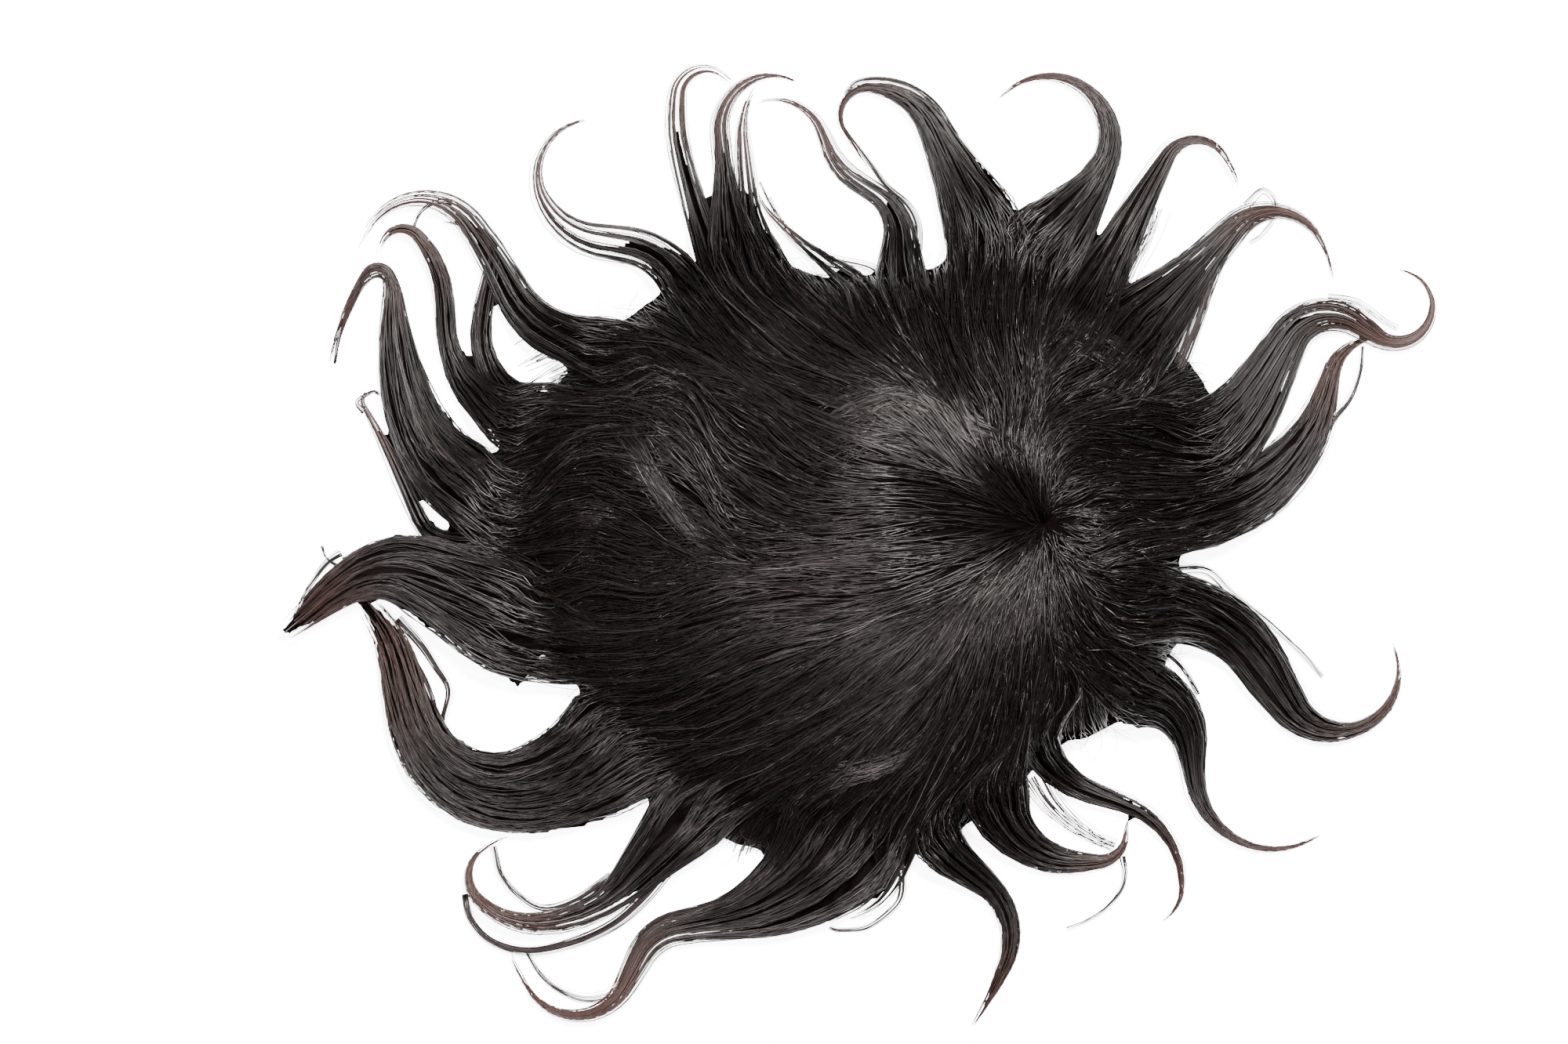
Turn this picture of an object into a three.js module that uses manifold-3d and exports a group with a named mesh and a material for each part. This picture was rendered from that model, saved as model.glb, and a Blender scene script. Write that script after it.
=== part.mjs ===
// A toupee hairpiece lying on a table: a thin domed base cap, the crown of dense hair that
// springs from it round a whorl, and four sections of hair round the crown, each with its curled
// locks running out past the hem.
// Millimetres. +Z is up, -X is the front hairline, +Y is the wearer's right side, and the table
// is at z = 0. The origin is on the table, under the middle of the whole piece.

import * as THREE from "three";
import { mergeVertices } from "three/addons/utils/BufferGeometryUtils.js";
import Module from "manifold-3d";

const wasm = await Module();
wasm.setup();

// Driving dimensions
const BASE_LENGTH = 222; // front to back of the base cap, as it lies
const BASE_WIDTH = 178; // side to side
const BASE_HEIGHT = 36; // rise of the base cap's dome above the table
const BASE_WALL = 1.5; // thickness of the base fabric
const HEM = 19; // how far the hair cover overhangs the base cap's edge
const HEM_HEIGHT = 9; // height of the hair at the hem, before its edge rounds off
const HAIR_DEPTH = 12; // depth of hair over the top of the base cap
const HAIR_LENGTH = 150; // free length of the hair past the hem
const LOCK_WIDTH = 30; // width of an ordinary lock where it leaves the hem
const LOCK_DEPTH = 12; // greatest depth of a lock
const TIP_WIDTH = 1.2; // width and depth that every lock tapers to
const TIP_DEPTH = 1.2;
const CROWN_SHARE = 0.76; // how far out the crown reaches, of the way to the hair's outline
const GAP = 0.3; // clearance between neighbouring pieces

// How finely the curved surfaces are divided
const BASE_SPOKES = 48;
const BASE_RINGS = 8;
const COVER_SPOKES = 72;
const COVER_RINGS = 13;
const STATION_TURN = 24; // most degrees that a lock turns between two sections
const STATION_STEP = 14; // most millimetres between two sections

// Shape of the two domes: height falls from 1 at the middle to 0 at the edge
const DOME_SPREAD = 2.2;
const BASE_FULLNESS = 0.75;
const COVER_FULLNESS = 0.8;
const COVER_SPREAD = 1.5; // how far out, in hems past the base's edge, the cover's dome comes down
const HEM_SHARPNESS = 24; // a higher number rounds off less of the hem
const HEM_ROUNDING = 0.4;

// A lock's depth, and how far back inside the cover its sweep starts, as shares of its width
const DEPTH_PER_WIDTH = 0.4;
const ROOT_TUCK = 0.4;
const CUT_DEPTH = 2; // how far a cutting solid runs on below the table
const CUT_REACH = 400; // length and height of the blocks that divide the sections

const radians = THREE.MathUtils.degToRad;

// Swells and hollows of the hair cover. at: middle, in half-lengths and half-widths of the base
// from its centre. size: long and short half-axes, as shares of the base's half-length.
// turn: degrees of the long axis from +X. rise: share of HAIR_DEPTH, negative for a hollow.
const SWELLS = [
  { name: "whorl_hollow", at: [0.58, 0.03], size: [0.2, 0.16], turn: 70, rise: -0.5 },
  { name: "crest_before_whorl", at: [-0.04, 0.12], size: [0.5, 0.2], turn: 92, rise: 0.35 },
  { name: "ridge_to_whorl", at: [0.36, 0.44], size: [0.36, 0.12], turn: -47, rise: 0.45 },
  { name: "back_ridge", at: [0.84, 0.76], size: [0.34, 0.12], turn: -24, rise: 0.35 },
  { name: "back_hollow", at: [0.98, 0.32], size: [0.26, 0.16], turn: -10, rise: -0.35 },
  { name: "side_hollow", at: [-0.27, 0.8], size: [0.24, 0.16], turn: 10, rise: -0.25 },
  { name: "side_swell", at: [-0.46, 0.98], size: [0.2, 0.12], turn: 10, rise: 0.2 },
  { name: "front_swell", at: [-0.84, 0.45], size: [0.3, 0.18], turn: 15, rise: 0.25 },
  { name: "front_hollow", at: [-0.82, 0.0], size: [0.2, 0.14], turn: 0, rise: -0.2 },
  { name: "left_swell", at: [-0.12, -1.1], size: [0.26, 0.12], turn: 20, rise: 0.2 },
];

// How far the hair hangs out past the base cap's edge at each bearing, as a share of HEM. Between
// two rows it is eased.
const HEM_REACH = [
  { bearing: 12, reach: 1.3 },
  { bearing: 27, reach: 1.95 },
  { bearing: 43, reach: 1.3 },
  { bearing: 64, reach: 2.1 },
  { bearing: 82, reach: 0.7 },
  { bearing: 99, reach: 0.65 },
  { bearing: 119, reach: 1.65 },
  { bearing: 136, reach: 1.6 },
  { bearing: 153, reach: 1.75 },
  { bearing: 170, reach: 2.4 },
  { bearing: 188, reach: 2.2 },
  { bearing: 208, reach: 1.45 },
  { bearing: 231, reach: 2.1 },
  { bearing: 247, reach: 2.3 },
  { bearing: 266, reach: 1.9 },
  { bearing: 281, reach: 1.8 },
  { bearing: 297, reach: 1.2 },
  { bearing: 308, reach: 0.5 },
  { bearing: 318, reach: 1 },
  { bearing: 329, reach: 1 },
  { bearing: 341, reach: 0.95 },
  { bearing: 354, reach: 0.45 },
];

// Sections of hair round the crown, each between two bearings in degrees
const SECTIONS = [
  { name: "back_hair", from: -42, to: 53.5 },
  { name: "right_hair", from: 53.5, to: 137 },
  { name: "front_hair", from: 137, to: 229.4 },
  { name: "left_hair", from: 229.4, to: 318 },
];

// Locks, anticlockwise from the back. root: bearing in degrees of the point on the cover's outline
// where the lock leaves it. heading: the way it sets out. arcs: runs of even curvature, each a
// share of HAIR_LENGTH and the heading reached at its end. widths: shares of LOCK_WIDTH, and
// lifts: heights of its underside as shares of LOCK_DEPTH, both at the root, a third of the way,
// two thirds and the tip. A row with from and at branches off that lock at that share of its run.
const LOCKS = [
  { name: "back_wave", root: 4, heading: 10,
    arcs: [[0.47, 76], [0.06, 76], [0.15, 6]],
    widths: [1, 0.73, 0.37, 0.07], lifts: [0, 0, 0, 0.1] },
  { name: "back_sweep", root: 15, heading: 34,
    arcs: [[0.2, 60], [0.15, 60], [0.21, -34], [0.06, -34], [0.36, 178]],
    widths: [1.2, 0.57, 0.13, 0.04], lifts: [0, 0.15, 0.2, 0] },
  { name: "back_plume", root: 38, heading: 45,
    arcs: [[0.38, 48], [0.26, -58], [0.12, -84]],
    widths: [1.27, 0.5, 0.13, 0.04], lifts: [0, 0, 0, 0.1] },
  { name: "back_curl", root: 48, heading: 61,
    arcs: [[0.43, 61], [0.17, -52], [0.12, -80]],
    widths: [0.8, 0.47, 0.16, 0.04], lifts: [0, 0, 0.3, 0.5] },
  { name: "right_crescent", root: 60, heading: 46,
    arcs: [[0.2, 54], [0.08, 71], [0.46, 230]],
    widths: [1.13, 0.4, 0.15, 0.04], lifts: [0, 0.2, 0.3, 0] },
  { name: "right_swan", root: 70, heading: 104,
    arcs: [[0.1, 118], [0.22, 116], [0.21, 178], [0.16, 300], [0.14, 304]],
    widths: [1.13, 0.5, 0.1, 0.04], lifts: [0, 0.1, 0.3, 0.1] },
  { name: "right_wisp", root: 85, heading: 88,
    arcs: [[0.1, 92], [0.14, 147], [0.06, 147], [0.12, 110], [0.04, 112], [0.22, 205]],
    widths: [0.67, 0.23, 0.08, 0.04], lifts: [0, 0, 0.1, 0] },
  { name: "right_stray", root: 97, heading: 144,
    arcs: [[0.25, 136], [0.08, 112]],
    widths: [0.33, 0.17, 0.08, 0.04], lifts: [0, 0.1, 0.1, 0] },
  { name: "right_fork_inner", root: 113, heading: 112,
    arcs: [[0.12, 96], [0.2, 94], [0.14, 58]],
    widths: [0.6, 0.27, 0.16, 0.05], lifts: [0, 0, 0, 0] },
  { name: "right_fork_middle", root: 117, heading: 106,
    arcs: [[0.15, 94], [0.17, 96], [0.18, 24], [0.12, -30]],
    widths: [0.8, 0.25, 0.13, 0.04], lifts: [0, 0.1, 0.3, 0] },
  { name: "right_fork_outer", root: 121, heading: 112,
    arcs: [[0.3, 103], [0.16, 82], [0.15, -35], [0.06, -50]],
    widths: [0.47, 0.3, 0.22, 0.04], lifts: [0, 0, 0.2, 0.4] },
  { name: "right_drift", root: 128, heading: 122,
    arcs: [[0.18, 172], [0.07, 170], [0.19, 116], [0.28, 5]],
    widths: [0.6, 0.47, 0.15, 0.04], lifts: [0, 0, 0, 0] },
  { name: "front_high", root: 147, heading: 172,
    arcs: [[0.27, 117], [0.2, 126], [0.32, 240], [0.13, 254]],
    widths: [0.8, 0.43, 0.14, 0.04], lifts: [0, 0.2, 0.6, 0.2] },
  { name: "front_thumb", root: 160, heading: 160,
    arcs: [[0.27, 84], [0.1, 76], [0.07, 80], [0.12, 160], [0.08, 180]],
    widths: [0.47, 0.3, 0.2, 0.04], lifts: [0, 0, 0.1, 0] },
  { name: "front_finger", root: 162, heading: 168,
    arcs: [[0.33, 92], [0.07, 92], [0.19, 132], [0.13, 262], [0.05, 272]],
    widths: [0.8, 0.3, 0.24, 0.04], lifts: [0, 0, 0.4, 0.6] },
  { name: "front_brush", root: 175, heading: 150,
    arcs: [[0.32, 108], [0.28, 90], [0.07, 110], [0.08, 236], [0.26, 260]],
    widths: [1.2, 0.73, 0.16, 0.04], lifts: [0, 0, 0, 0] },
  { name: "front_curl", root: 182, heading: 178,
    arcs: [[0.12, 165], [0.09, 114], [0.23, 116], [0.1, 122], [0.05, 20]],
    widths: [0.3, 0.23, 0.15, 0.05], lifts: [0, 0, 0, 0] },
  { name: "front_beak", root: 192, heading: 152,
    arcs: [[0.25, 160], [0.16, 205], [0.1, 221], [0.15, 218]],
    widths: [1.6, 1.2, 0.6, 0.27], lifts: [0, 0.25, 0.6, 0.6] },
  { name: "front_return", root: 219, heading: 224,
    arcs: [[0.27, 188], [0.37, 108], [0.16, 102], [0.2, 140]],
    widths: [1.67, 1.03, 0.7, 0.3], lifts: [0, 0, 0, 0] },
  { name: "left_loop", root: 236, heading: 228,
    arcs: [[0.22, 228], [0.28, 181], [0.17, 134], [0.14, 40], [0.1, 14]],
    widths: [1.07, 0.37, 0.13, 0.04], lifts: [0, 0.2, 0.6, 0.1] },
  { name: "left_loop_branch", from: "left_loop", at: 0.33, heading: 228,
    arcs: [[0.12, 200], [0.08, 188], [0.2, 105]],
    widths: [0.2, 0.15, 0.1, 0.05], lifts: [0.2, 0.3, 0.2, 0.1] },
  { name: "left_tail", root: 262, heading: 232,
    arcs: [[0.37, 190], [0.1, 190], [0.13, 243], [0.09, 243], [0.3, 125], [0.12, 110]],
    widths: [1.73, 0.5, 0.17, 0.04], lifts: [0, 0.1, 0.4, 0] },
  { name: "left_frill", root: 273, heading: 272,
    arcs: [[0.08, 250], [0.13, 205], [0.1, 200]],
    widths: [0.6, 0.3, 0.15, 0.05], lifts: [0, 0, 0, 0] },
  { name: "left_spike", root: 281, heading: 304,
    arcs: [[0.11, 326], [0.07, 320], [0.22, 248], [0.2, 236]],
    widths: [0.67, 0.33, 0.23, 0.04], lifts: [0, 0, 0.1, 0] },
  { name: "left_scoop", root: 294, heading: 284,
    arcs: [[0.26, 353], [0.09, 366], [0.1, 440], [0.05, 452]],
    widths: [0.87, 0.5, 0.23, 0.04], lifts: [0, 0, 0, 0.1] },
  { name: "left_arc", root: 307, heading: 296,
    arcs: [[0.2, 342], [0.09, 340], [0.29, 266], [0.1, 205]],
    widths: [0.53, 0.27, 0.13, 0.04], lifts: [0, 0.2, 0.2, 0] },
  { name: "back_tail", root: 329, heading: 348,
    arcs: [[0.2, 276], [0.09, 277], [0.44, 397]],
    widths: [0.93, 0.33, 0.12, 0.04], lifts: [0, 0, 0, 0] },
  { name: "back_swan", root: 346, heading: 350,
    arcs: [[0.25, 302], [0.14, 304], [0.49, 478]],
    widths: [0.9, 0.7, 0.22, 0.04], lifts: [0, 0.1, 0.2, 0] },
];

// A lock's section: across, in widths from its middle, and up, in depths from its underside
const SECTION = [[-0.3, 0], [0.3, 0], [0.5, 0.4], [0.24, 1], [-0.24, 1], [-0.5, 0.4]];

const materials = {
  base: new THREE.MeshStandardMaterial({ color: 0x2b211c, roughness: 0.85, metalness: 0 }),
  crown: new THREE.MeshStandardMaterial({ color: 0x1d1816, roughness: 0.42, metalness: 0 }),
  section: new THREE.MeshStandardMaterial({ color: 0x231b18, roughness: 0.4, metalness: 0 }),
};

function solidOf(points, triangles) {
  return new wasm.Manifold(
    new wasm.Mesh({
      numProp: 3,
      vertProperties: new Float32Array(points.flat()),
      triVerts: new Uint32Array(triangles.flat()),
    }),
  );
}

function geometryOf(solid) {
  const mesh = solid.getMesh();
  const geometry = new THREE.BufferGeometry();
  geometry.setAttribute("position", new THREE.BufferAttribute(mesh.vertProperties, mesh.numProp));
  geometry.setIndex(new THREE.BufferAttribute(mesh.triVerts, 1));
  return mergeVertices(geometry);
}

function largestBody(solid) {
  return solid.decompose().reduce((a, b) => (b.volume() > a.volume() ? b : a));
}

function joinAll(solids) {
  return solids.reduce((joined, solid) => joined.add(solid));
}

// An upright block over a flat outline, from below the table to above the hair
function blockOver(outline) {
  const shape = new THREE.Shape(outline.map(([x, y]) => new THREE.Vector2(x, y)));
  const geometry = new THREE.ExtrudeGeometry(shape, { depth: CUT_REACH, bevelEnabled: false });
  geometry.deleteAttribute("normal");
  geometry.deleteAttribute("uv");
  geometry.translate(0, 0, -CUT_DEPTH);
  const merged = mergeVertices(geometry);
  return new wasm.Manifold(
    new wasm.Mesh({
      numProp: 3,
      vertProperties: merged.attributes.position.array,
      triVerts: new Uint32Array(merged.index.array),
    }),
  );
}

// A point of an ellipse with these half-axes, along a bearing
function ellipsePoint(halfLength, halfWidth, bearing) {
  const [x, y] = [Math.cos(bearing), Math.sin(bearing)];
  const radius = 1 / Math.hypot(x / halfLength, y / halfWidth);
  return [radius * x, radius * y];
}

// A point of the cover's outline, the base's edge pushed out by the hem's reach at that bearing
function outlinePoint(bearing, growth = 0) {
  const degrees = THREE.MathUtils.euclideanModulo(THREE.MathUtils.radToDeg(bearing), 360);
  const count = HEM_REACH.length;
  const next = Math.max(0, HEM_REACH.findIndex((row) => row.bearing > degrees));
  const [low, high] = [HEM_REACH[(next + count - 1) % count], HEM_REACH[next]];
  const since = THREE.MathUtils.euclideanModulo(degrees - low.bearing, 360);
  const span = THREE.MathUtils.euclideanModulo(high.bearing - low.bearing, 360);
  const reach = THREE.MathUtils.lerp(low.reach, high.reach, THREE.MathUtils.smoothstep(since, 0, span));
  const out = HEM * reach + growth;
  return ellipsePoint(BASE_LENGTH / 2 + out, BASE_WIDTH / 2 + out, bearing);
}

function domeHeight(share, fullness) {
  return Math.max(0, 1 - share ** DOME_SPREAD) ** fullness;
}

// Share of a swell that is left at a point: 1 at its middle and nothing far away
function swellShare(swell, x, y) {
  const along = radians(swell.turn);
  const dx = x - (swell.at[0] * BASE_LENGTH) / 2;
  const dy = y - (swell.at[1] * BASE_WIDTH) / 2;
  const u = (dx * Math.cos(along) + dy * Math.sin(along)) / ((swell.size[0] * BASE_LENGTH) / 2);
  const v = (dy * Math.cos(along) - dx * Math.sin(along)) / ((swell.size[1] * BASE_LENGTH) / 2);
  return Math.exp(-(u * u + v * v));
}

// Height of the hair cover's surface, at a share of the way out to its outline
function coverHeight(x, y, share) {
  const out = HEM * COVER_SPREAD;
  const domeShare = Math.hypot(x / (BASE_LENGTH / 2 + out), y / (BASE_WIDTH / 2 + out));
  const dome = (BASE_HEIGHT + HAIR_DEPTH - HEM_HEIGHT) * domeHeight(domeShare, COVER_FULLNESS);
  const edge = Math.max(0, 1 - share ** HEM_SHARPNESS) ** HEM_ROUNDING;
  const relief = SWELLS.reduce((sum, swell) => sum + swell.rise * swellShare(swell, x, y), 0);
  return (HEM_HEIGHT + dome + relief * HAIR_DEPTH) * edge;
}

// A dome inside an outline: rings of points from the middle out, then a skirt down to a flat bottom
function domeSolid({ outline, spokes, rings, height, bottom }) {
  const shares = Array.from({ length: rings }, (_, i) => Math.sin(((i + 1) / rings) * (Math.PI / 2)));
  const levels = shares.map((share) => ({ share, z: (x, y) => height(x, y, share) }));
  if (bottom < 0) levels.push({ share: 1, z: () => bottom });
  const points = [[0, 0, height(0, 0, 0)]];
  for (const { share, z } of levels) {
    for (let spoke = 0; spoke < spokes; spoke++) {
      const [x, y] = outline((2 * Math.PI * spoke) / spokes).map((value) => value * share);
      points.push([x, y, z(x, y)]);
    }
  }
  points.push([0, 0, bottom]);
  const last = levels.length;
  const at = (ring, spoke) => 1 + (ring - 1) * spokes + (spoke % spokes);
  const triangles = [];
  for (let spoke = 0; spoke < spokes; spoke++) {
    triangles.push([0, at(1, spoke), at(1, spoke + 1)]);
    triangles.push([points.length - 1, at(last, spoke + 1), at(last, spoke)]);
    for (let ring = 1; ring < last; ring++) {
      triangles.push([at(ring, spoke), at(ring + 1, spoke), at(ring + 1, spoke + 1)]);
      triangles.push([at(ring, spoke), at(ring + 1, spoke + 1), at(ring, spoke + 1)]);
    }
  }
  return solidOf(points, triangles);
}

// The base's dome, grown outwards by a clearance or shrunk by a wall
function baseDome(growth, bottom) {
  const crown = BASE_HEIGHT + growth;
  return domeSolid({
    outline: (bearing) => ellipsePoint(BASE_LENGTH / 2 + growth, BASE_WIDTH / 2 + growth, bearing),
    spokes: BASE_SPOKES,
    rings: BASE_RINGS,
    height: (x, y, share) => crown * domeHeight(share, BASE_FULLNESS),
    bottom,
  });
}

function coverDome(growth, bottom) {
  return domeSolid({
    outline: (bearing) => outlinePoint(bearing, growth),
    spokes: COVER_SPOKES,
    rings: COVER_RINGS,
    height: (x, y, share) => coverHeight(x, y, share) + growth,
    bottom,
  });
}

// A value along a lock, eased between its four columns
function alongLock(columns, share) {
  const place = Math.min(share, 1) * (columns.length - 1);
  const step = Math.min(Math.floor(place), columns.length - 2);
  return THREE.MathUtils.lerp(columns[step], columns[step + 1], place - step);
}

// The stations of a lock: position, heading in radians and share of its whole run
function lockCourse(lock, start) {
  const total = lock.arcs.reduce((sum, arc) => sum + arc[0], 0) * HAIR_LENGTH;
  let { x, y } = start;
  let heading = radians(lock.heading);
  let run = 0;
  const stations = [{ x, y, heading, share: 0 }];
  for (const [length, reached] of lock.arcs) {
    const turn = radians(reached) - heading;
    const span = length * HAIR_LENGTH;
    const steps = Math.ceil(Math.max(Math.abs(turn) / radians(STATION_TURN), span / STATION_STEP));
    for (let step = 0; step < steps; step++) {
      const middle = heading + turn / steps / 2;
      x += (span / steps) * Math.cos(middle);
      y += (span / steps) * Math.sin(middle);
      heading += turn / steps;
      run += span / steps;
      stations.push({ x, y, heading, share: run / total });
    }
  }
  return stations;
}

function rootOf(lock) {
  const [x, y] = outlinePoint(radians(lock.root));
  return { x, y };
}

// Where a branch leaves its parent lock
function branchPoint(lock) {
  const parent = LOCKS.find((row) => row.name === lock.from);
  const course = lockCourse(parent, rootOf(parent));
  return course.find((station) => station.share >= lock.at);
}

// One lock: its section carried along its course, with a first station tucked into the cover
function lockSolid(lock, growth) {
  const start = lock.from ? branchPoint(lock) : rootOf(lock);
  const course = lockCourse(lock, start);
  const root = course[0];
  const tuck = ROOT_TUCK * lock.widths[0] * LOCK_WIDTH;
  course.unshift({
    ...root,
    x: root.x - tuck * Math.cos(root.heading),
    y: root.y - tuck * Math.sin(root.heading),
  });
  const points = [];
  for (const { x, y, heading, share } of course) {
    const bare = Math.max(TIP_WIDTH, alongLock(lock.widths, share) * LOCK_WIDTH);
    const width = bare + 2 * growth;
    const depth = Math.min(LOCK_DEPTH, TIP_DEPTH + DEPTH_PER_WIDTH * bare) + 2 * growth;
    const under = alongLock(lock.lifts, share) * LOCK_DEPTH - growth;
    for (const [across, up] of SECTION) {
      const side = across * width;
      points.push([x + side * Math.sin(heading), y - side * Math.cos(heading), under + up * depth]);
    }
  }
  const sides = SECTION.length;
  const triangles = [];
  for (let i = 0; i < course.length - 1; i++) {
    for (let side = 0; side < sides; side++) {
      const a = i * sides + side;
      const b = i * sides + ((side + 1) % sides);
      triangles.push([a, b + sides, b], [a, a + sides, b + sides]);
    }
  }
  const last = (course.length - 1) * sides;
  for (let side = 1; side < sides - 1; side++) {
    triangles.push([0, side, side + 1], [last, last + side + 1, last + side]);
  }
  return solidOf(points, triangles);
}

function named(name, solid, material) {
  const mesh = new THREE.Mesh(geometryOf(solid), material);
  mesh.name = name;
  return mesh;
}

function baseCap() {
  return baseDome(0, 0).subtract(baseDome(-BASE_WALL, -CUT_DEPTH));
}

// The block that holds the crown, grown by a clearance
function crownBlock(growth) {
  const outline = Array.from({ length: COVER_SPOKES }, (_, spoke) => {
    const [x, y] = outlinePoint((2 * Math.PI * spoke) / COVER_SPOKES);
    const scale = CROWN_SHARE + growth / Math.hypot(x, y);
    return [x * scale, y * scale];
  });
  return blockOver(outline);
}

// The block that holds a section, drawn in from its neighbours by half the clearance
function sectionBlock({ from, to }) {
  const [start, end, half] = [radians(from), radians(to), radians((to - from) / 2)];
  const shift = GAP / 2 / Math.sin(half);
  const apex = [shift * Math.cos(start + half), shift * Math.sin(start + half)];
  const corner = (bearing, reach) => [
    apex[0] + reach * Math.cos(bearing),
    apex[1] + reach * Math.sin(bearing),
  ];
  const middle = corner(start + half, CUT_REACH / Math.cos(half));
  return blockOver([apex, corner(start, CUT_REACH), middle, corner(end, CUT_REACH)]);
}

function isInSection(lock, { from, to }) {
  const parent = lock.from ? LOCKS.find((row) => row.name === lock.from) : lock;
  return THREE.MathUtils.euclideanModulo(parent.root - from, 360) < to - from;
}

// The hair round the base: the crown, then each section with its locks fused to its stretch of
// the hem, cut clear of the crown, the base and the sections before it
function hairPieces() {
  const hair = coverDome(0, 0).subtract(baseDome(GAP, -CUT_DEPTH));
  const crown = hair.intersect(crownBlock(0));
  const inner = crownBlock(GAP).add(baseDome(GAP, -CUT_DEPTH));
  let taken = inner;
  const sections = SECTIONS.map((section) => {
    const block = sectionBlock(section);
    const rows = LOCKS.filter((lock) => isInSection(lock, section));
    const locks = joinAll(rows.map((lock) => lockSolid(lock, 0)));
    const neighbours = coverDome(GAP, -CUT_DEPTH).subtract(block);
    const solid = hair.intersect(block).add(locks.subtract(neighbours)).subtract(taken);
    taken = taken.add(joinAll(rows.map((lock) => lockSolid(lock, GAP))).subtract(neighbours));
    return named(section.name, largestBody(solid), materials.section);
  });
  return [named("crown_hair", crown, materials.crown), ...sections];
}

const toupee = new THREE.Group();
toupee.add(named("base_cap", baseCap(), materials.base), ...hairPieces());

// The origin goes under the middle of the whole piece
const middle = new THREE.Box3().setFromObject(toupee).getCenter(new THREE.Vector3());
for (const mesh of toupee.children) mesh.position.set(-middle.x, -middle.y, 0);

export default toupee;
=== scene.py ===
import math
from collections import namedtuple

import bmesh
import bpy
import numpy as np
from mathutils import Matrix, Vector
from mathutils.bvhtree import BVHTree


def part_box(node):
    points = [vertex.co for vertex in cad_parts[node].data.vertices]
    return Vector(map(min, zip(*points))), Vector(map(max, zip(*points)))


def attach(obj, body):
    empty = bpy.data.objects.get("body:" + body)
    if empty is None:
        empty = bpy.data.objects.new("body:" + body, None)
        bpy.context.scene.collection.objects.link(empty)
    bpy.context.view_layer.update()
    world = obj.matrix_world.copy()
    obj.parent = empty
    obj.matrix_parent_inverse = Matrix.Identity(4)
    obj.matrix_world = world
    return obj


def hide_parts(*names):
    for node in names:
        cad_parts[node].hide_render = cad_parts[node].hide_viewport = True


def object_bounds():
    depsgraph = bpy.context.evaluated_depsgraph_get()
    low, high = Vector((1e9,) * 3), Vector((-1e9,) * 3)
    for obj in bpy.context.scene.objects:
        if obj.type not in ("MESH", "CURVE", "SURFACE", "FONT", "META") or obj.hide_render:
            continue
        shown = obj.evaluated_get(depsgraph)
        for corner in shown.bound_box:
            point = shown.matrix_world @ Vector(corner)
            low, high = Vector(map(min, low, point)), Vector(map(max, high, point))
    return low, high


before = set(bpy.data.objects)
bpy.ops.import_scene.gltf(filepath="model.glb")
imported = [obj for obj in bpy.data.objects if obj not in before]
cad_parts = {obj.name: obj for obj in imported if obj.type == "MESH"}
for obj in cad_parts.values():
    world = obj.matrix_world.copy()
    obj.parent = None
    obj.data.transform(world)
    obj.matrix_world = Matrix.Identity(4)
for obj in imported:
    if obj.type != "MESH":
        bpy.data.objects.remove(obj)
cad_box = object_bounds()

MM = 0.001
SEED = 11

# Driving sizes, as in the part's source
BASE_LENGTH = 222
BASE_WIDTH = 178
BASE_HEIGHT = 36
HEM = 19
HEM_HEIGHT = 9
HAIR_DEPTH = 12
HAIR_LENGTH = 150
LOCK_WIDTH = 30
LOCK_DEPTH = 12
TIP_WIDTH = 1.2
TIP_DEPTH = 1.2
DEPTH_PER_WIDTH = 0.4
COVER_SPREAD = 1.5
DOME_SPREAD = 2.2
COVER_FULLNESS = 0.8
HEM_SHARPNESS = 24
HEM_ROUNDING = 0.4

# Strands
WHORL = (65, 3)  # where the hair's swirl is centred
WHORL_RADIUS = 0.8
STRAND_RADIUS = 0.27
WISP_RADIUS = 0.2
FUZZ_RADIUS = 0.12
SIDES = 3
STATION_STEP = 13
TABLE_CLEARANCE = 0.15  # between the lowest strands and the table
FLOW_SWING = 3.5  # sideways, of the hair on its way from the whorl to the hem
COVER_RUN = 120  # about how long that way is
COVER_DETOUR = 1.12  # how much longer it is than a straight line
ROOT_RISE = 7  # how far a lock's upper strands bridge the step from the cover to the lock
ROOT_BLEND = 34  # length over which the cover's surface gives way to the lock's section
BEFORE_ROOT = 16  # how much of that length lies before the root

# Numbers of strands
STRANDS_PER_MM = 5.4  # of a lock's width at its root
LONG_SHARE = 0.36  # of them, those that start near the whorl
SHORT_SHARE = 0.64  # and those that start lower on the cover
CROWN_STRANDS = 2500
CROWN_CLUMPS = 260
FRINGE_PER_DEGREE = 5
FUZZ_PER_DEGREE = 2
TUFT_BUNDLES = 7
COVER_STATIONS = 9  # along each strand of the crown and the fringe
TUFT_STATIONS = 10
FUZZ_STATIONS = 6

# The waves that cross the hair in front
FRONT_BEARING = 168  # their middle, in degrees
FRONT_REACH = 38  # degrees to either side
FRONT_WAVE = 54  # length of a wave
FRONT_TWIST = 7  # how much later a wave comes with each degree of bearing, in degrees
FRONT_SWING = 4  # sideways
FRONT_HEAVE = 1.5  # up and down

# The core under the strands
CORE_VOXEL = 2.4
CORE_DROP = 1.3  # how far its upper side lies under the part's own surface
CORE_SWELL = 0.4  # outwards at its sides
CORE_REACH = 2.2  # in half-widths of a lock, how far out its points still belong to it
CORE_FLOOR = 0.2
LOOSE_THINNING = 0.78  # of a loose lock's width, towards the end of the core
GRID_STEP = 1.5  # of the core's height grid
GRID_SMOOTHING = 6  # rounds

# The photograph's frame, and the camera above it
PHOTO_WIDTH = 617.3
PHOTO_MIDDLE = (-37.04, 4.32)
CAMERA_HEIGHT = 2500
FOCUS_HEIGHT = 15  # of the hair's middle, where the frame has its width
SENSOR_WIDTH = 36

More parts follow.
